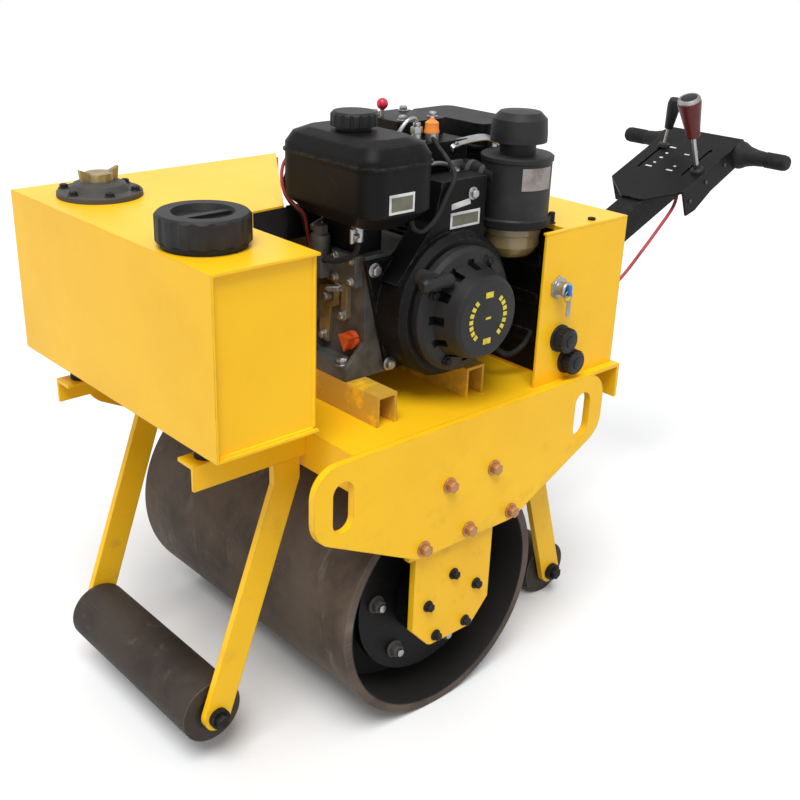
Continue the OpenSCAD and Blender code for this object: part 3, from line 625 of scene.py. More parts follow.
def add_piece(name, bm, material, slot=None, body="chassis", sharp=35):
    """Turns a bmesh into a finished piece on a CAD body. Its slot is its material's name, unless given."""
    bmesh.ops.remove_doubles(bm, verts=bm.verts, dist=1e-6)
    bmesh.ops.recalc_face_normals(bm, faces=bm.faces)
    piece = mesh_object(name, bm)
    for face in piece.data.polygons:
        face.use_smooth = True
    piece.data.set_sharp_from_angle(angle=math.radians(sharp))
    put_material(piece, material)
    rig.ride(piece, body)
    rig.slot(piece, slot or material)


def round_edges(bm, edges, width, segments=2):
    bmesh.ops.bevel(bm, geom=list(edges), offset=width, offset_type="OFFSET", affect="EDGES",
                    segments=segments, profile=0.5, material=-1, clamp_overlap=True)


def edges_of(verts):
    return {edge for vert in verts for edge in vert.link_edges}


def disc(bm, place, radius, depth, sides, rim=0.0):
    """Upright cylinder standing on place, with its edges rounded by rim."""
    shift = Matrix.Translation((0, 0, depth / 2))
    made = bmesh.ops.create_cone(bm, cap_ends=True, segments=sides, radius1=radius, radius2=radius,
                                 depth=depth, matrix=place @ shift)["verts"]
    if rim:
        caps = [edge for edge in edges_of(made) if len(edge.link_faces) == 2
                and any(len(face.verts) == sides for face in edge.link_faces)]
        round_edges(bm, caps, rim)


# Washer, rim and crown of a bolt as shares of its head's width
WASHER_RADIUS, HEAD_RIM, CROWN_RADIUS = 0.66, 0.05, 0.36
# Height of a head's crown, how far it is sunk, and the height over which a head has one
CROWN_HEIGHT, CROWN_SUNK, CROWNED_HEAD = 0.0008, 0.0004, 0.004


def hex_bolt(bm, place, width, height, washer):
    """Hexagon head of some width across corners, with a washer under it and a low crown on it."""
    if washer:
        disc(bm, place, width * WASHER_RADIUS, washer, 24, washer * 0.25)
    disc(bm, place @ Matrix.Translation((0, 0, washer)), width / 2, height, 6, width * HEAD_RIM)
    if height > CROWNED_HEAD:
        top = place @ Matrix.Translation((0, 0, washer + height - CROWN_SUNK))
        disc(bm, top, width * CROWN_RADIUS, CROWN_HEIGHT, 20)


def hex_bolts(bm, points, direction, width, height, washer):
    """Like hexagon heads on several points."""
    for point in points:
        hex_bolt(bm, at(point, direction), width, height, washer)


def block(bm, low, high, rim, segments=2):
    """Box between two corners with edges rounded by rim."""
    low, high = Vector(low), Vector(high)
    size = Matrix.Diagonal((*(high - low), 1.0))
    made = bmesh.ops.create_cube(bm, size=1.0, matrix=Matrix.Translation((low + high) / 2) @ size)["verts"]
    round_edges(bm, edges_of(made), rim, segments)


def plate(bm, place, width, height, depth=0.0006):
    """Thin plate lying on place."""
    size = Matrix.Diagonal((width, height, depth, 1.0))
    bmesh.ops.create_cube(bm, size=1.0, matrix=place @ Matrix.Translation((0, 0, depth / 2)) @ size)


def flood(verts):
    """Every vertex joined to these by edges."""
    seen, fresh = set(verts), list(verts)
    while fresh:
        for edge in fresh.pop().link_edges:
            for vert in edge.verts:
                if vert not in seen:
                    seen.add(vert)
                    fresh.append(vert)
    return seen


def turned(bm, profile, place, steps=48):
    """Revolves a profile of radius and height about the Z axis of place."""
    verts = [bm.verts.new((radius, 0, height)) for radius, height in profile]
    edges = [bm.edges.new(pair) for pair in zip(verts, verts[1:])]
    bmesh.ops.spin(bm, geom=verts + edges, cent=(0, 0, 0), axis=UP, angle=math.tau,
                   steps=steps, use_merge=True, use_duplicate=False)
    made = list(flood(verts))
    bmesh.ops.transform(bm, matrix=place, verts=made)
    bmesh.ops.remove_doubles(bm, verts=made, dist=1e-6)


def collar(bm, place, inner, outer, height, steps):
    """Plain ring standing on place."""
    turned(bm, ((inner, 0.0), (outer, 0.0), (outer, height), (inner, height), (inner, 0.0)), place, steps)


def smooth_path(points, steps=6):
    """Points along a smooth curve through a few chosen ones."""
    points = [Vector(p) for p in points]
    ends = [2 * points[0] - points[1], *points, 2 * points[-1] - points[-2]]
    path = []
    for a, b, c, d in zip(ends, ends[1:], ends[2:], ends[3:]):
        for k in range(steps):
            t = k / steps
            path.append(0.5 * (2 * b + (c - a) * t + (2 * a - 5 * b + 4 * c - d) * t * t
                               + (3 * b - a - 3 * c + d) * t ** 3))
    return path + [points[-1]]


def tube(bm, path, radius, sides):
    """Round tube along a path, made by extruding one ring from point to point."""
    path = [Vector(p) for p in path]
    last = len(path) - 1
    ways = [(path[min(i + 1, last)] - path[max(i - 1, 0)]).normalized() for i in range(last + 1)]
    frames = [facing(ways[0])]
    for before, after in zip(ways, ways[1:]):
        frames.append(before.rotation_difference(after).to_matrix().to_4x4() @ frames[-1])
    places = [Matrix.Translation(p) @ turn for p, turn in zip(path, frames)]
    ring = bmesh.ops.create_circle(bm, cap_ends=True, segments=sides, radius=radius, matrix=places[0])
    edges = list(edges_of(ring["verts"]))
    for before, after in zip(places, places[1:]):
        grown = bmesh.ops.extrude_edge_only(bm, edges=edges)["geom"]
        verts = [g for g in grown if isinstance(g, bmesh.types.BMVert)]
        edges = [g for g in grown if isinstance(g, bmesh.types.BMEdge)]
        bmesh.ops.transform(bm, matrix=after @ before.inverted(), verts=verts)
    bmesh.ops.holes_fill(bm, edges=edges, sides=0)


def hose(bm, route, radius, sides):
    """Round hose, pipe or wire through a few chosen points."""
    tube(bm, smooth_path(route), radius, sides)


# Weld beads: radius, length of a ripple and how far they wander
WELD_RADIUS, WELD_RIPPLE, WELD_WANDER = 0.003, 0.007, 0.0005


def weld(bm, start, end):
    """Weld bead along a line, wandering a little from it."""
    start, end = Vector(start), Vector(end)
    count = max(4, int((end - start).length / WELD_RIPPLE))
    wander = Vector((WELD_WANDER, WELD_WANDER, WELD_WANDER))
    path = [start.lerp(end, i / count) + wander * math.sin(i * 2.4) for i in range(count + 1)]
    tube(bm, path, WELD_RADIUS, 8)


def strap(bm, path, across, thickness):
    """Flat strap along a path, as wide as across, made by extruding one end from point to point."""
    path = smooth_path(path)
    half = Vector(across) / 2
    edge = bm.edges.new([bm.verts.new(path[0] + half), bm.verts.new(path[0] - half)])
    made = list(edge.verts)
    faces = []
    for before, after in zip(path, path[1:]):
        grown = bmesh.ops.extrude_edge_only(bm, edges=[edge])["geom"]
        edge = next(g for g in grown if isinstance(g, bmesh.types.BMEdge) and g.is_boundary
                    and not any(v in made for v in g.verts))
        bmesh.ops.translate(bm, vec=after - before, verts=edge.verts)
        made += edge.verts
        faces += [g for g in grown if isinstance(g, bmesh.types.BMFace)]
    bmesh.ops.solidify(bm, geom=faces, thickness=thickness)


def ring_of(count, radius, start=0.0):
    """Offsets of points spread evenly round a circle."""
    for i in range(count):
        turn = start + math.tau * i / count
        yield radius * math.cos(turn), radius * math.sin(turn)


class ROLLER_OT_finishes(bpy.types.Operator):
    """Gives every CAD node its procedural finish"""
    bl_idname = "roller.finishes"
    bl_label = "Finishes"

    own = {"control_cable": "red_cable", "roller_axles": "black_bolt", "rear_roller": "rear_roller_steel",
           "engine_rails": "rail_paint", "fuel_tank": "tank_black", "stop_lever": "red_ball",
           "oil_breather": "dark_steel"}

    def execute(self, context):
        for name, piece in NODES.items():
            put_material(piece, self.own.get(name, SLOT_OF[name]))
        return {"FINISHED"}


class ROLLER_OT_plate_bolts(bpy.types.Operator):
    """Zinc bolts that join the side plates to the drum brackets"""
    bl_idname = "roller.plate_bolts"
    bl_label = "Side plate bolts"

    rows = ((0.450, (-0.0495, 0.0495)), (0.355, (-0.099, 0.0, 0.099)))
    head, washer = 0.010, 0.003

    def execute(self, context):
        for side, hand in SIDES:
            node = "side_plate_" + hand
            x, y = middle(node).x, outer_face(node, side)
            points = [(x + shift, y, height) for height, shifts in self.rows for shift in shifts]
            bm = bmesh.new()
            hex_bolts(bm, points, (0, side, 0), sizes().plate_bolt, self.head, self.washer)
            add_piece("plate_bolts_" + hand, bm, "plate_bolt", "zinc")
        return {"FINISHED"}


class ROLLER_OT_bracket_bolts(bpy.types.Operator):
    """Black bolts that hold the motor housings to the drum brackets"""
    bl_idname = "roller.bracket_bolts"
    bl_label = "Drum bracket bolts"

    count = 5
    head, washer = 0.008, 0.0025

    def execute(self, context):
        for side, hand in SIDES:
            y = outer_face("drum_bracket_" + hand, side)
            points = [(DRUM_MID.x + across, y, DRUM_MID.z + up) for across, up in
                      ring_of(self.count, sizes().bracket_ring, math.pi / 2)]
            bm = bmesh.new()
            hex_bolts(bm, points, (0, side, 0), sizes().bracket_bolt, self.head, self.washer)
            add_piece("bracket_bolts_" + hand, bm, "black_bolt", "black_paint")
        return {"FINISHED"}


class ROLLER_OT_buffer_bolts(bpy.types.Operator):
    """Nuts and studs that hold the rubber buffers to the drive plates"""
    bl_idname = "roller.buffer_bolts"
    bl_label = "Buffer bolts"

    count, start = 6, math.radians(7.5)
    face = 0.260
    width, head, washer = 0.024, 0.010, 0.004
    stud_radius, stud_length, stud_rim = 0.0068, 0.006, 0.0012

    def execute(self, context):
        bm, studs = bmesh.new(), bmesh.new()
        for side in (1, -1):
            for across, up in ring_of(self.count, sizes().buffer_ring, self.start):
                place = at((DRUM_MID.x + across, side * self.face, DRUM_MID.z + up), (0, side, 0))
                hex_bolt(bm, place, self.width, self.head, self.washer)
                end = place @ Matrix.Translation((0, 0, self.head + self.washer))
                disc(studs, end, self.stud_radius, self.stud_length, 20, self.stud_rim)
        add_piece("buffer_bolts", bm, "dark_steel", "bare_steel", "drum")
        add_piece("buffer_studs", studs, "bare_steel", body="drum")
        return {"FINISHED"}


class ROLLER_OT_leg_bolts(bpy.types.Operator):
    """Nuts on the support rollers' axles"""
    bl_idname = "roller.leg_bolts"
    bl_label = "Axle nuts"

    width, head = 0.025, 0.009

    def execute(self, context):
        reach = highest("roller_axles").y
        bm = bmesh.new()
        for side in (1, -1):
            for axle in (middle("front_roller"), middle("rear_roller")):
                hex_bolt(bm, at((axle.x, side * reach, axle.z), (0, side, 0)), self.width, self.head, 0.0)
        add_piece("leg_bolts", bm, "black_bolt", "black_paint")
        return {"FINISHED"}


class ROLLER_OT_tank_fittings(bpy.types.Operator):
    """Bolts round the oil breather and weld beads on the tank's corners"""
    bl_idname = "roller.tank_fittings"
    bl_label = "Tank fittings"

    count, ring, start = 6, 0.056, 0.3
    flange = 0.009
    width, head, washer = 0.013, 0.005, 0.0012
    # Welds: insets from the tank's box, height of the foot line, and where the two sides end
    wall_inset, corner_inset, end_inset = 0.009, 0.004, 0.006
    foot_rise, right_foot = 0.0045, 0.012
    left_rear, left_foot = 0.2545, 0.256

    def execute(self, context):
        mid, top = middle("oil_breather"), lowest("oil_breather").z + self.flange
        points = [(mid.x + across, mid.y + along, top) for across, along in
                  ring_of(self.count, self.ring, self.start)]
        bm = bmesh.new()
        hex_bolts(bm, points, UP, self.width, self.head, self.washer)
        add_piece("breather_bolts", bm, "black_bolt", "black_paint")
        self.welds()
        return {"FINISHED"}

    def welds(self):
        low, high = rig.box("water_tank")
        foot, top = low.z + self.end_inset, high.z - self.end_inset
        line = low.z + self.foot_rise
        bm = bmesh.new()
        for side, rear, line_end in ((1, self.left_rear, self.left_foot),
                                     (-1, low.x + self.corner_inset, low.x + self.right_foot)):
            y = side * (high.y - self.wall_inset)
            for x in (high.x - self.corner_inset, rear):
                weld(bm, (x, y, foot), (x, y, top))
            weld(bm, (high.x - self.end_inset, y, line), (line_end, y, line))
        add_piece("tank_welds", bm, "yellow_paint", sharp=60)


class ROLLER_OT_box_fittings(bpy.types.Operator):
    """Lid bolts, a black front sheet of painted shade, flanges, key and socket ribs of the rear box"""
    bl_idname = "roller.box_fittings"
    bl_label = "Rear box fittings"

    lid_bolt = (-0.306, 0.289)
    # Front sheet of painted shade: thickness, margins inside the box, and the swages pressed in it
    sheet, side_margin, foot_margin, top_margin = 0.0018, 0.0065, 0.005, 0.003
    swages, swage_half, swage_margin = (0.065, 0.130, 0.195), 0.009, 0.05
    swage_back, swage_front = 0.0010, 0.0032
    flange = 0.008
    # Key switch: bezel's outline, grip, ring, and two keys by shift, drop and distance from the face
    bezel = ((0.0085, 0.0), (0.013, 0.0), (0.013, 0.004), (0.0115, 0.006), (0.0085, 0.006), (0.0085, 0.0))
    grip_half, grip_length, grip_depth = 0.0025, 0.009, 0.011
    ring_radius, ring_wire, ring_at = 0.009, 0.0009, Vector((0, 0.007, -0.0095))
    keys = ((-0.0045, 0.046, 0.0058), (0.0015, 0.041, 0.0084))
    key_half, key_depth, key_top = 0.0035, 0.0016, 0.0175
    # Socket caps: places, ribs and the low disc on each
    caps = ((-0.233, 0.624), (-0.257, 0.581))
    ribs, rib_ring, rib_half, rib_out = 20, 0.0201, Vector((0.0011, 0.005, 0.0011)), 0.0165
    cap_disc, cap_out = ((0.0, 0.0), (0.0105, 0.0), (0.0105, 0.0012), (0.009, 0.0018), (0.0, 0.0018)), 0.025

    def execute(self, context):
        x, y = self.lid_bolt
        bm = bmesh.new()
        for side in (1, -1):
            disc(bm, at((x, side * y, highest("rear_box_lid").z)), 0.0065, 0.004, 20, 0.0012)
        add_piece("lid_bolts", bm, "black_bolt", "black_paint")
        self.lining()
        self.key()
        self.socket_ribs()
        return {"FINISHED"}

    def lining(self):
        """Black sheet of painted shade on the wall that faces the engine, and the top flanges of the box's two sides.
        """
        low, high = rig.box("rear_box")
        lid = highest("rear_box_lid")
        bm = bmesh.new()
        # Painted shade: a black sheet over the box's front, which lies in shade
        block(bm, (lid.x, low.y + self.side_margin, low.z + self.foot_margin),
              (lid.x + self.sheet, high.y - self.side_margin, high.z - self.top_margin), 0.0006)
        for height in self.swages:
            z = low.z + height
            block(bm, (lid.x + self.swage_back, low.y + self.swage_margin, z - self.swage_half),
                  (lid.x + self.swage_front, high.y - self.swage_margin, z + self.swage_half), 0.0009)
        add_piece("box_lining", bm, "black_paint")
        bm = bmesh.new()
        for side in (1, -1):
            edges = sorted((side * high.y, side * (high.y - self.flange)))
            block(bm, (lid.x, edges[0], high.z), (high.x, edges[1], lid.z), 0.0008)
        add_piece("box_flanges", bm, "yellow_paint")

    def key(self):
        mid = middle("key_switch")
        face = Vector((mid.x, highest("key_switch").y, mid.z))
        bm = bmesh.new()
        disc(bm, at((mid.x, lowest("key_switch").y, mid.z), LEFT), 0.0195, 0.003, 6, 0.0006)
        turned(bm, self.bezel, at(face, LEFT))
        add_piece("key_bezel", bm, "bare_steel")
        bm = bmesh.new()
        block(bm, face - Vector((self.grip_half, 0, self.grip_length)),
              face + Vector((self.grip_half, self.grip_depth, self.grip_length)), 0.0012)
        disc(bm, at(face, LEFT), 0.0083, 0.0025, 24, 0.0005)
        add_piece("key_grip", bm, "blue_plastic", "black_plastic")
        bm = bmesh.new()
        wire = [(self.ring_radius + across, up) for across, up in ring_of(8, self.ring_wire)]
        turned(bm, wire + wire[:1], at(face + self.ring_at, LEFT), 32)
        for shift, drop, out in self.keys:
            block(bm, face + Vector((shift - self.key_half, out, -drop)),
                  face + Vector((shift + self.key_half, out + self.key_depth, -self.key_top)), 0.0006)
        add_piece("key_ring", bm, "bare_steel")

    def socket_ribs(self):
        wall = lowest("socket_caps").y
        bm = bmesh.new()
        for x, z in self.caps:
            for across, up in ring_of(self.ribs, self.rib_ring):
                rib = Vector((x + across, wall + self.rib_out, z + up))
                block(bm, rib - self.rib_half, rib + self.rib_half, 0.0004, 1)
            turned(bm, self.cap_disc, at((x, wall + self.cap_out, z), LEFT), 32)
        add_piece("socket_ribs", bm, "black_plastic")


class ROLLER_OT_engine_bolts(bpy.types.Operator):
    """Bolts on the engine's covers, feet and starter"""
    bl_idname = "roller.engine_bolts"
    bl_label = "Engine bolts"

    # Places of the bolts; those on the rocker cover stand on its top
    cover = ((0.082, 0.198, 0.770), (0.047, 0.198, 0.613), (-0.122, 0.198, 0.613))
    duct = ((-0.079, 0.236, 0.871),)
    feet = ((0.117, 0.088, 0.620), (0.117, 0.170, 0.620))
    rocker = ((-0.117, 0.034), (-0.117, 0.102), (-0.053, 0.034), (-0.053, 0.102))
    pump = ((0.106, 0.137, 0.750), (0.106, 0.137, 0.782), (0.106, 0.173, 0.750), (0.106, 0.173, 0.782))
    starter_count, starter_ring, starter_start, starter_face = 4, 0.0835, math.radians(-62), 0.2765
    # Their width across corners, height and washer
    cover_bolt, duct_bolt, foot_bolt = (0.017, 0.007, 0.002), (0.015, 0.006, 0.002), (0.020, 0.009, 0.0025)
    rocker_bolt, pump_bolt = (0.013, 0.006, 0.0015), (0.011, 0.005, 0.001)
    starter_bolt = (0.013, 0.006, 0.0016)

    def execute(self, context):
        top = highest("cylinder_block").z
        bm = bmesh.new()
        hex_bolts(bm, self.cover, LEFT, *self.cover_bolt)
        hex_bolts(bm, self.duct, LEFT, *self.duct_bolt)
        hex_bolts(bm, self.feet, UP, *self.foot_bolt)
        hex_bolts(bm, [(x, y, top) for x, y in self.rocker], UP, *self.rocker_bolt)
        hex_bolts(bm, self.pump, FRONT, *self.pump_bolt)
        add_piece("engine_bolts", bm, "bare_steel")
        points = [(CRANK.x + across, self.starter_face, CRANK.z + up) for across, up in
                  ring_of(self.starter_count, self.starter_ring, self.starter_start)]
        bm = bmesh.new()
        hex_bolts(bm, points, LEFT, *self.starter_bolt)
        add_piece("starter_bolts", bm, "black_bolt", "black_paint")
        return {"FINISHED"}


class ROLLER_OT_engine_lines(bpy.types.Operator):
    """Injector, fuel tap, hoses, governor spring, wires, tank bracket and a black sheet of painted shade on the water
    tank's step
    """
    bl_idname = "roller.engine_lines"
    bl_label = "Engine lines"

    # Injector and return plug on the cylinder head, which lies below the rocker cover's top
    nozzle, boss, boss_radius = (-0.046, 0.142), (-0.077, 0.143), 0.010
    head_drop, plug_drop = 0.027, 0.015
    # Injector's turned parts, by height above the head, radius, length, sides and rim
    nozzle_parts = ((0.0, 0.0075, 0.014, 20, 0.0008), (0.014, 0.0095, 0.010, 6, 0.0006),
                    (0.024, 0.006, 0.006, 16, 0.0006))
    injection_route = ((0.110, 0.097, 0.817), (0.106, 0.084, 0.818), (0.084, 0.073, 0.820),
                       (0.045, 0.074, 0.824), (0.010, 0.092, 0.842), (-0.004, 0.122, 0.895),
                       (-0.008, 0.138, 0.944), (-0.022, 0.144, 0.968), (-0.038, 0.144, 0.972))
    stay_route = ((-0.040, 0.1635, 0.902), (-0.060, 0.166, 0.905), (-0.080, 0.166, 0.903),
                  (-0.100, 0.165, 0.897))
    plug = ((0.0, 0.0235), (0.003, 0.023), (0.004, 0.0200), (0.0075, 0.0180), (0.0105, 0.0156),
            (0.0108, 0.006), (0.012, 0.0035), (0.012, 0.0), (0.0, 0.0))
    # Fuel tap under the fuel tank, and the hoses
    tap, tank_depth = (0.112, 0.196), 0.126
    fuel_route = ((0.113, 0.192, 0.802), (0.118, 0.178, 0.789), (0.122, 0.158, 0.782), (0.124, 0.138, 0.778),
                  (0.121, 0.126, 0.776))
    return_route = ((0.060, 0.250, 0.853), (0.050, 0.247, 0.838), (0.030, 0.245, 0.831), (0.0, 0.2415, 0.846),
                    (-0.020, 0.2405, 0.876), (-0.038, 0.237, 0.902), (-0.052, 0.205, 0.920),
                    (-0.064, 0.172, 0.932), (-0.071, 0.153, 0.940))
    # Governor spring, from X, Y and the height above the crankshaft
    spring_start, spring_end = Vector((0.106, 0.118, 0.022)), Vector((0.106, 0.150, 0.030))
    spring_turns, turn_points, spring_radius, spring_wire = 9, 10, 0.0042, 0.0008
    rod_route = ((0.104, 0.150, 0.034), (0.106, 0.128, 0.040), (0.106, 0.104, 0.042))
    # Wires behind the fuel tank, and the lead to the sockets
    red_route = ((0.118, 0.0495, 0.930), (0.141, 0.0535, 0.908), (0.149, 0.061, 0.884), (0.146, 0.068, 0.866),
                 (0.132, 0.074, 0.848), (0.114, 0.070, 0.832), (0.102, 0.064, 0.800), (0.0945, 0.064, 0.764))
    black_route = ((0.112, 0.0495, 0.915), (0.134, 0.0520, 0.893), (0.143, 0.0575, 0.872),
                   (0.136, 0.066, 0.852), (0.118, 0.066, 0.834), (0.102, 0.058, 0.806),
                   (0.0945, 0.057, 0.778))
    lead_route = ((-0.120, 0.200, 0.640), (-0.150, 0.226, 0.612), (-0.176, 0.244, 0.590),
                  (-0.205, 0.252, 0.600), (-0.2265, 0.252, 0.622))
    # Black rubber sheet on the water tank's step: painted shade over the step's shaded face
    sheet_at, sheet_faces = (0.16425, 0.04975, 0.742), (-0.0656, 0.9978, 0.0)
    sheet_width, sheet_height, sheet_depth = 0.0635, 0.200, 0.0022

    def execute(self, context):
        self.injector()
        self.fuel()
        self.governor()
        self.wires()
        self.bracket()
        return {"FINISHED"}

    def injector(self):
        top = highest("cylinder_block").z
        head = top - self.head_drop
        x, y = self.nozzle
        bm = bmesh.new()
        for rise, *shape in self.nozzle_parts:
            disc(bm, at((x, y, head + rise)), *shape)
        block(bm, (x - 0.010, y - 0.020, head), (x + 0.010, y + 0.012, head + 0.004), 0.0012)
        hose(bm, (*self.injection_route, (x, y, head + 0.029)), 0.0032, 10)
        hex_bolt(bm, at((0.110, 0.096, 0.817), (0, -1, 0)), 0.014, 0.010, 0.0)
        collar(bm, at((*self.boss, head)), self.boss_radius - 0.002, self.boss_radius + 0.0008, 0.012, 32)
        hose(bm, self.stay_route, 0.0042, 12)
        block(bm, (-0.128, 0.159, 0.877), (-0.099, 0.166, 0.905), 0.003)
        hex_bolt(bm, at((-0.1135, 0.166, 0.886), LEFT), 0.012, 0.005, 0.001)
        add_piece("injection_pipe", bm, "bare_steel")
        bm = bmesh.new()
        turned(bm, self.plug, at((*self.boss, top - self.plug_drop)), 32)
        add_piece("return_plug", bm, "orange_cap", "orange_plastic")

    def fuel(self):
        x, y = self.tap
        tank = highest("fuel_tank").z - self.tank_depth
        down = (0, 0, -1)
        bm = bmesh.new()
        disc(bm, at((x, y, tank), down), 0.011, 0.006, 6, 0.0006)
        disc(bm, at((x, y, tank - 0.006), down), 0.007, 0.020, 16, 0.0008)
        disc(bm, at((x, y, tank - 0.016), (1, 0.4, 0)), 0.005, 0.018, 12, 0.0006)
        block(bm, (x + 0.012, y + 0.0025, tank - 0.026), (x + 0.020, y + 0.0065, tank - 0.004), 0.0015)
        add_piece("fuel_tap", bm, "bare_steel")
        bm = bmesh.new()
        hose(bm, ((x, y, tank - 0.024), *self.fuel_route), 0.0042, 12)
        hose(bm, self.return_route, 0.0034, 12)
        add_piece("fuel_hoses", bm, "rubber")

    def governor(self):
        """Spring, bolts, pivot and rod of the governor."""
        base, crank = 0.098, Vector((0, 0, CRANK.z))
        count = self.spring_turns * self.turn_points
        path = []
        for i in range(count + 1):
            angle = math.tau * self.spring_turns * i / count
            around = Vector((math.cos(angle), 0, math.sin(angle))) * self.spring_radius
            path.append(crank + self.spring_start.lerp(self.spring_end, i / count) + around)
        bm = bmesh.new()
        tube(bm, path, self.spring_wire, 6)
        hex_bolt(bm, at((base, 0.101, CRANK.z - 0.058), FRONT), 0.013, 0.006, 0.0014)
        hex_bolt(bm, at((0.102, 0.152, CRANK.z - 0.012), FRONT), 0.013, 0.007, 0.0014)
        disc(bm, at((base, 0.114, CRANK.z + 0.010), FRONT), 0.008, 0.014, 20, 0.001)
        tube(bm, [crank + Vector(point) for point in self.rod_route], 0.0022, 8)
        add_piece("governor_spring", bm, "bare_steel")

    def wires(self):
        bm = bmesh.new()
        hose(bm, self.red_route, 0.0026, 10)
        add_piece("red_wire", bm, "red_cable", "red_plastic")
        bm = bmesh.new()
        hose(bm, self.black_route, 0.0028, 10)
        hose(bm, self.lead_route, 0.005, 12)
        add_piece("black_wire", bm, "rubber")

    def bracket(self):
        """Bent plate under the fuel tank's right end, and a black rubber sheet of painted shade on the water tank's
        step.
        """
        bottom, case = highest("fuel_tank").z - 0.1262, highest("crankcase")
        bm = bmesh.new()
        for low, high in (((0.062, 0.0455, case.z), (0.131, 0.0485, bottom)),
                          ((case.x + 0.0005, 0.0457, case.z - 0.018), (0.1305, 0.0483, case.z + 0.003)),
                          ((0.0625, 0.0275, case.z), (0.090, 0.0475, case.z + 0.0035)),
                          ((0.0625, 0.0465, bottom - 0.0035), (0.112, 0.0885, bottom))):
            block(bm, low, high, 0.0008)
        hex_bolt(bm, at((0.076, 0.036, case.z + 0.0035)), 0.012, 0.005, 0.0012)
        add_piece("tank_bracket", bm, "black_paint")
        bm = bmesh.new()
        # Painted shade: a black sheet over the step's face, which lies in shade
        plate(bm, at(self.sheet_at, self.sheet_faces), self.sheet_width, self.sheet_height, self.sheet_depth)
        add_piece("splash_sheet", bm, "rubber")


class ROLLER_OT_engine_labels(bpy.types.Operator):
    """Blank plates on the engine and plain yellow marks on the starter"""
    bl_idname = "roller.engine_labels"
    bl_label = "Engine labels"

    # Labels on the fuel tank and blower duct: two corners in X and Z, and their border
    tank_label, tank_sunk = ((0.070, 0.871), (0.118, 0.899)), 0.003
    duct_label, duct_face = ((-0.097, 0.8215), (-0.034, 0.846)), 0.236
    border = 0.004
    strip_at, strip_tilt = (-0.055, 0.236, 0.8575), 0.12
    # Marks on the starter's cap
    mark_ring, mark_pitch, mark_steps = 0.0365, 0.27, range(-3, 4)
    # Label round the air cleaner
    wrap_radius, wrap_depth, wrap_low, wrap_high = 0.0552, 0.0006, 0.872, 0.906
    wrap_start, wrap_arc = math.radians(52), math.radians(58)

    def execute(self, context):
        self.plates()
        self.marks()
        self.wrap()
        return {"FINISHED"}

    def plates(self):
        tank_face = highest("fuel_tank").y - self.tank_sunk
        edge = self.border
        frames, fields = bmesh.new(), bmesh.new()
        for ((x0, z0), (x1, z1)), y in ((self.tank_label, tank_face), (self.duct_label, self.duct_face)):
            block(frames, (x0, y, z0), (x1, y + 0.0008, z1), 0.0003, 1)
            block(fields, (x0 + edge, y + 0.0006, z0 + edge), (x1 - edge, y + 0.0012, z1 - edge), 0.0002, 1)
        plate(frames, at(self.strip_at, LEFT) @ Matrix.Rotation(self.strip_tilt, 4, "Z"), 0.040, 0.009)
        add_piece("label_frames", frames, "white_mark", "bare_steel")
        add_piece("label_fields", fields, "olive_label", "bare_steel")

    def on_cap(self, radius, turn):
        """Place on the starter's cap at some radius and angle."""
        x, z = CRANK.x + radius * math.cos(turn), CRANK.z + radius * math.sin(turn)
        return at((x, highest("starter").y, z), LEFT)

    def marks(self):
        """Two arcs of small marks, a wider one above and below them, and one in the middle."""
        bm = bmesh.new()
        for centre in (0.0, math.pi):
            for k in self.mark_steps:
                turn = centre + k * self.mark_pitch
                plate(bm, self.on_cap(self.mark_ring, turn) @ Matrix.Rotation(-turn, 4, "Z"), 0.0078, 0.0066)
        for turn in (math.pi / 2, -math.pi / 2):
            plate(bm, self.on_cap(self.mark_ring, turn), 0.016, 0.009)
        plate(bm, self.on_cap(0.0, 0.0), 0.011, 0.0035)
        add_piece("starter_marks", bm, "yellow_mark", "yellow_paint")

    def wrap(self):
        """Label bent round the air cleaner."""
        mid = middle("air_cleaner_bowl")
        inner, outer = self.wrap_radius, self.wrap_radius + self.wrap_depth
        low, high = self.wrap_low, self.wrap_high
        corners = ((inner, low), (outer, low), (outer, high), (inner, high))
        bm = bmesh.new()
        ring = [bm.verts.new((radius, 0, z)) for radius, z in corners]
        face = bm.faces.new(ring)
        bmesh.ops.spin(bm, geom=[face, *face.edges, *ring], cent=(0, 0, 0), axis=UP,
                       angle=self.wrap_arc, steps=16, use_merge=False, use_duplicate=False)
        turn = Matrix.Rotation(self.wrap_start, 4, "Z")
        bmesh.ops.transform(bm, matrix=Matrix.Translation((mid.x, mid.y, 0)) @ turn, verts=bm.verts)
        add_piece("cleaner_label", bm, "grey_label", "bare_steel")


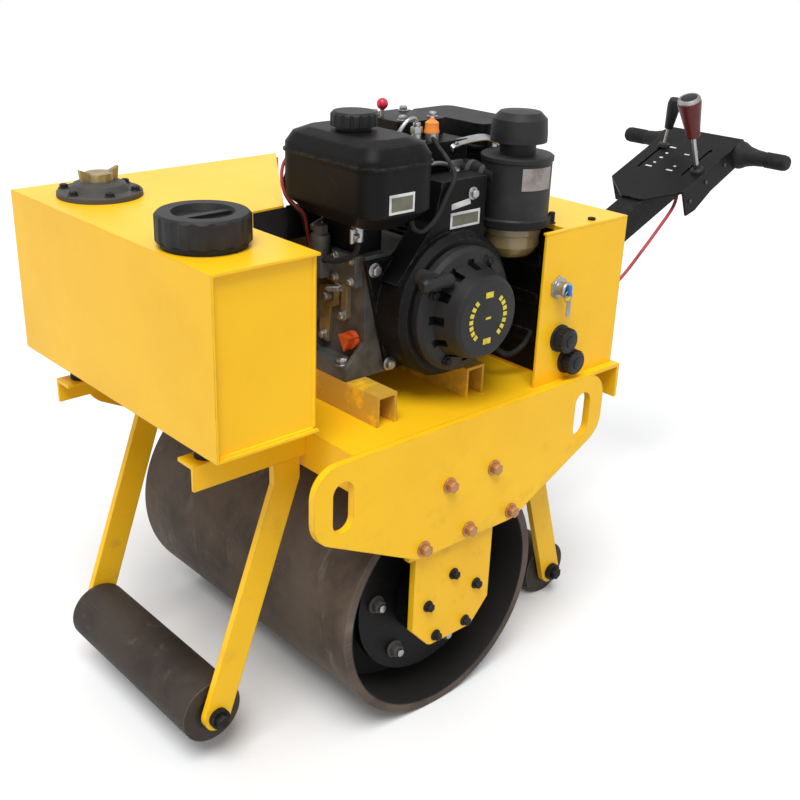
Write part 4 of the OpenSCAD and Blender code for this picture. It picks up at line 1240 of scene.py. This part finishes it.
class ROLLER_OT_cleaner_fittings(bpy.types.Operator):
    """Band and clamps of the air cleaner and its intake, and guard of the muffler"""
    bl_idname = "roller.cleaner_fittings"
    bl_label = "Air cleaner and muffler fittings"

    # Band: radii, height and its foot above the bowl, and the bolts beside it
    band_inner, band_outer, band_height, band_rise = 0.0575, 0.0592, 0.012, 0.002
    bolt_ring, bolt_start, bolt = 0.062, math.radians(140), (0.011, 0.016, 0.002)
    # Heat guard: route of the strap, its width as a vector, its screws and feet
    guard_route = ((-0.104, 0.158, 0.921), (-0.106, 0.1605, 0.929), (-0.136, 0.161, 0.933),
                   (-0.174, 0.161, 0.934), (-0.196, 0.160, 0.929), (-0.213, 0.156, 0.921))
    guard_across, guard_depth = (0, 0.0105, -0.0075), 0.0022
    guard_screws = ((-0.113, 0.1605, 0.928), (-0.204, 0.1605, 0.928))
    guard_feet = (((-0.114, 0.1555, 0.914), (-0.102, 0.160, 0.928)),
                  ((-0.210, 0.1485, 0.914), (-0.198, 0.159, 0.928)))
    # Intake pipe: X, Z and radius, and where its clamps sit along Y
    intake, clamps, clamp_width = (-0.135, 0.890, 0.014), (0.176, 0.206), 0.009

    def execute(self, context):
        mid, foot = middle("air_cleaner_bowl"), highest("air_cleaner_bowl").z + self.band_rise
        bm = bmesh.new()
        collar(bm, at((mid.x, mid.y, foot)), self.band_inner, self.band_outer, self.band_height, 56)
        points = [(mid.x + across, mid.y + along, foot - 0.002) for across, along in
                  ring_of(2, self.bolt_ring, self.bolt_start)]
        hex_bolts(bm, points, UP, *self.bolt)
        add_piece("cleaner_band", bm, "black_bolt", "black_paint")
        self.guard()
        self.intake_clamps()
        return {"FINISHED"}

    def guard(self):
        bm = bmesh.new()
        strap(bm, self.guard_route, self.guard_across, self.guard_depth)
        for point in self.guard_screws:
            disc(bm, at(point, LEFT), 0.005, 0.004, 6, 0.0005)
        for low, high in self.guard_feet:
            block(bm, low, high, 0.001)
        add_piece("heat_guard", bm, "bare_steel")

    def intake_clamps(self):
        x, z, radius = self.intake
        bm = bmesh.new()
        for y in self.clamps:
            collar(bm, at((x, y, z), LEFT), radius - 0.001, radius + 0.0012, self.clamp_width, 40)
            screw = at((x + 0.004, y + self.clamp_width / 2, z - radius), (0.25, 0, -1))
            hex_bolt(bm, screw, 0.010, 0.008, 0.002)
        add_piece("intake_clamps", bm, "dark_steel", "bare_steel")


class ROLLER_OT_handle_fittings(bpy.types.Operator):
    """Second lever, knob ring, panel marks, screws and boots, grip ribs and pivot nuts of the handle"""
    bl_idname = "roller.handle_fittings"
    bl_label = "Handle fittings"

    # Places in the handle's frame: up the arm, sideways and above the pivot
    panel_top = 0.037
    lever_foot, lever_top, lever_end = (0.624, -0.058, 0.037), (0.638, -0.0505, 0.075), (0.655, -0.035, 0.140)
    knob_foot, knob_end = (0.560, 0.072, 0.037), (0.560, 0.072, 0.205)
    # Outlines of the turned pieces, by radius and height
    second_knob_outline = ((0.0, 0.0), (0.009, 0.0), (0.0105, 0.014), (0.0135, 0.042), (0.0145, 0.056),
                           (0.012, 0.066), (0.0, 0.069))
    lever_boot = ((0.0, 0.0), (0.014, 0.0), (0.012, 0.006), (0.0, 0.007))
    knob_ring = ((0.0165, -0.003), (0.0225, -0.006), (0.0232, -0.003), (0.0205, 0.0012), (0.0165, 0.0012),
                 (0.0165, -0.003))
    knob_cap = ((0.0, 0.0), (0.0165, 0.0), (0.014, 0.0018), (0.0, 0.0026))
    knob_boot = ((0.0, 0.0), (0.015, 0.0), (0.0135, 0.005), (0.008, 0.008), (0.0055, 0.016), (0.0, 0.016))
    rib = ((0.0152, 0.0), (0.0166, 0.0007), (0.0166, 0.0027), (0.0152, 0.0034), (0.0152, 0.0))
    # Panel: marks by place and width, side screws, and the strips under the lever slots
    ticks = ((0.544, -0.040, 0.016), (0.560, -0.036, 0.006), (0.581, -0.034, 0.008), (0.600, -0.033, 0.006),
             (0.624, -0.034, 0.016), (0.543, 0.014, 0.016), (0.560, 0.016, 0.006), (0.608, 0.013, 0.012),
             (0.624, 0.026, 0.007))
    screws, screw_side = ((0.626, 0.017), (0.558, 0.015), (0.499, 0.004)), 0.092
    slots, slot_along, slot_under, boot_depth = (0.052, -0.060), 0.5875, 0.030, 0.002
    # Ribs of a grip: how many, the first one's place, and the distance between them
    ribs, rib_along, rib_start, rib_pitch, rib_above = 7, 0.683, 0.155, 0.0062, 0.009

    def execute(self, context):
        self.second_lever()
        self.knob()
        self.panel()
        self.grips()
        self.pivot()
        return {"FINISHED"}

    def second_lever(self):
        foot, top = handle_point(*self.lever_foot), handle_point(*self.lever_top)
        way, lean = top - foot, handle_point(*self.lever_end) - top
        bm = bmesh.new()
        tube(bm, (foot, top + way * 0.1), 0.0042, 14)
        add_piece("second_lever", bm, "bare_steel", body="handle")
        bm = bmesh.new()
        turned(bm, self.second_knob_outline, at(top, lean), 32)
        turned(bm, self.lever_boot, at(foot, way), 24)
        add_piece("second_knob", bm, "black_plastic", body="handle")

    def knob(self):
        top = at(handle_point(*self.knob_end), HANDLE_UP)
        bm = bmesh.new()
        turned(bm, self.knob_ring, top, 40)
        add_piece("knob_ring", bm, "bare_steel", body="handle")
        bm = bmesh.new()
        turned(bm, self.knob_cap, top, 40)
        turned(bm, self.knob_boot, at(handle_point(*self.knob_foot), HANDLE_UP), 32)
        add_piece("knob_top", bm, "black_plastic", body="handle")

    def panel(self):
        bm = bmesh.new()
        for along, across, width in self.ticks:
            place = Matrix.Translation(handle_point(along, across, self.panel_top)) @ HANDLE_TURN
            plate(bm, place, 0.004, width)
        add_piece("panel_marks", bm, "white_mark", "bare_steel", "handle")
        bm = bmesh.new()
        for side in (1, -1):
            for along, above in self.screws:
                place = at(handle_point(along, side * self.screw_side, above), (0, side, 0))
                disc(bm, place, 0.0042, 0.0025, 18, 0.0007)
        add_piece("panel_screws", bm, "dark_steel", "bare_steel", "handle")
        bm = bmesh.new()
        for across in self.slots:
            place = Matrix.Translation(handle_point(self.slot_along, across, self.slot_under)) @ HANDLE_TURN
            plate(bm, place, 0.126, 0.017, self.boot_depth)
        add_piece("slot_boots", bm, "rubber", body="handle")

    def grips(self):
        bm = bmesh.new()
        for side in (1, -1):
            for k in range(self.ribs):
                across = side * (self.rib_start + self.rib_pitch * k)
                place = at(handle_point(self.rib_along, across, self.rib_above), (0, side, 0))
                turned(bm, self.rib, place, 32)
        add_piece("grip_ribs", bm, "rubber", body="handle")

    def pivot(self):
        reach = highest("handle_bracket").y
        bm = bmesh.new()
        for side in (1, -1):
            hex_bolt(bm, at((HINGE.x, side * reach, HINGE.z), (0, side, 0)), 0.030, 0.012, 0.003)
        add_piece("pivot_nuts", bm, "black_bolt", "black_paint")


class ROLLER_OT_stage(bpy.types.Operator):
    """Pale floor, soft studio light and the camera"""
    bl_idname = "roller.stage"
    bl_label = "Stage"

    camera_at = (1.149, 1.401, 1.258)
    yaw, pitch, roll = math.radians(-131.31), math.radians(-24.41), math.radians(1.45)
    shift, sensor = (0.0431, 0.0228), 36.0
    key_from, key_power, key_spread = (0.80, 0.72, 2.05), 2.55, math.radians(32)
    # Floor: half its width, how far it lies below the ground line, and its tone for light and for the camera
    floor_half, floor_drop = 12.0, 0.0005
    floor_lit, floor_seen = (0.50, 0.50, 0.50), (0.84, 0.84, 0.84)
    # Colour and strength of the world for light and for the camera
    sky, backdrop = ((0.97, 0.985, 1.0), 0.70), ((1.0, 1.0, 1.0), 1.0)

    def execute(self, context):
        self.floor()
        self.world(context)
        self.lights(context)
        self.camera(context)
        return {"FINISHED"}

    def floor(self):
        bm = bmesh.new()
        bmesh.ops.create_grid(bm, x_segments=1, y_segments=1, size=self.floor_half,
                              matrix=Matrix.Translation((0, 0, -self.floor_drop)))
        floor = mesh_object("floor", bm)
        f = Finish("floor")
        pale = f.mix(rgb(self.floor_lit), rgb(self.floor_seen), f.plain_rays())
        f.set(Base_Color=pale, Roughness=0.9, Specular_IOR_Level=0.0)
        floor.data.materials.append(f.material)
        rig.stage(floor)

    def world(self, context):
        world = bpy.data.worlds.new("studio")
        world.use_nodes = True
        context.scene.world = world
        n = Nodes(world.node_tree)
        soft, white = (n.node("ShaderNodeBackground", None, {"Color": rgb(colour), "Strength": power})
                       for colour, power in (self.sky, self.backdrop))
        chosen = n.node("ShaderNodeMixShader", None, {0: n.plain_rays(), 1: soft, 2: white})
        n.end("ShaderNodeOutputWorld", chosen)

    def lights(self, context):
        light = bpy.data.lights.new("key", "SUN")
        light.energy = self.key_power
        light.angle = self.key_spread
        lamp = bpy.data.objects.new("key", light)
        lamp.rotation_euler = Vector(self.key_from).to_track_quat("Z", "Y").to_euler()
        context.scene.collection.objects.link(lamp)

    def camera(self, context):
        flat = math.cos(self.pitch)
        ahead = Vector((flat * math.cos(self.yaw), flat * math.sin(self.yaw), math.sin(self.pitch)))
        level = ahead.cross(Vector(UP)).normalized()
        upright = level.cross(ahead)
        right = math.cos(self.roll) * level + math.sin(self.roll) * upright
        up = -math.sin(self.roll) * level + math.cos(self.roll) * upright
        lens = bpy.data.cameras.new("camera")
        lens.lens = sizes().lens
        lens.sensor_width = self.sensor
        lens.shift_x, lens.shift_y = self.shift
        camera = bpy.data.objects.new("camera", lens)
        turn = Matrix((right, up, -ahead)).transposed().to_4x4()
        camera.matrix_world = Matrix.Translation(Vector(self.camera_at)) @ turn
        context.scene.collection.objects.link(camera)
        context.scene.camera = camera
        context.scene.view_settings.view_transform = "Standard"


OPERATORS = (ROLLER_OT_stage, ROLLER_OT_finishes, ROLLER_OT_plate_bolts, ROLLER_OT_bracket_bolts,
             ROLLER_OT_buffer_bolts, ROLLER_OT_leg_bolts, ROLLER_OT_tank_fittings, ROLLER_OT_box_fittings,
             ROLLER_OT_engine_bolts, ROLLER_OT_engine_lines, ROLLER_OT_engine_labels,
             ROLLER_OT_cleaner_fittings, ROLLER_OT_handle_fittings)


class ROLLER_PT_panel(bpy.types.Panel):
    """Lists the roller's operators"""
    bl_idname = "ROLLER_PT_panel"
    bl_label = "Road roller"
    bl_space_type = "VIEW_3D"
    bl_region_type = "UI"
    bl_category = "Roller"

    def draw(self, context):
        for operator in OPERATORS:
            self.layout.operator(operator.bl_idname)


CLASSES = (RollerColours, RollerSizes, *OPERATORS, ROLLER_PT_panel)


def register():
    for cls in CLASSES:
        bpy.utils.register_class(cls)
    bpy.types.Scene.roller_colours = bpy.props.PointerProperty(type=RollerColours)
    bpy.types.Scene.roller_sizes = bpy.props.PointerProperty(type=RollerSizes)


def unregister():
    del bpy.types.Scene.roller_sizes
    del bpy.types.Scene.roller_colours
    for cls in reversed(CLASSES):
        bpy.utils.unregister_class(cls)


def main():
    register()
    for operator in OPERATORS:
        group, name = operator.bl_idname.split(".")
        getattr(getattr(bpy.ops, group), name)()
    boxes = {"cad": [list(corner) for corner in CAD_BOX], "visual": [list(corner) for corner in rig.bounds()]}
    with open("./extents.json", "w") as file:
        json.dump(boxes, file)


if __name__ == "__main__":
    main()
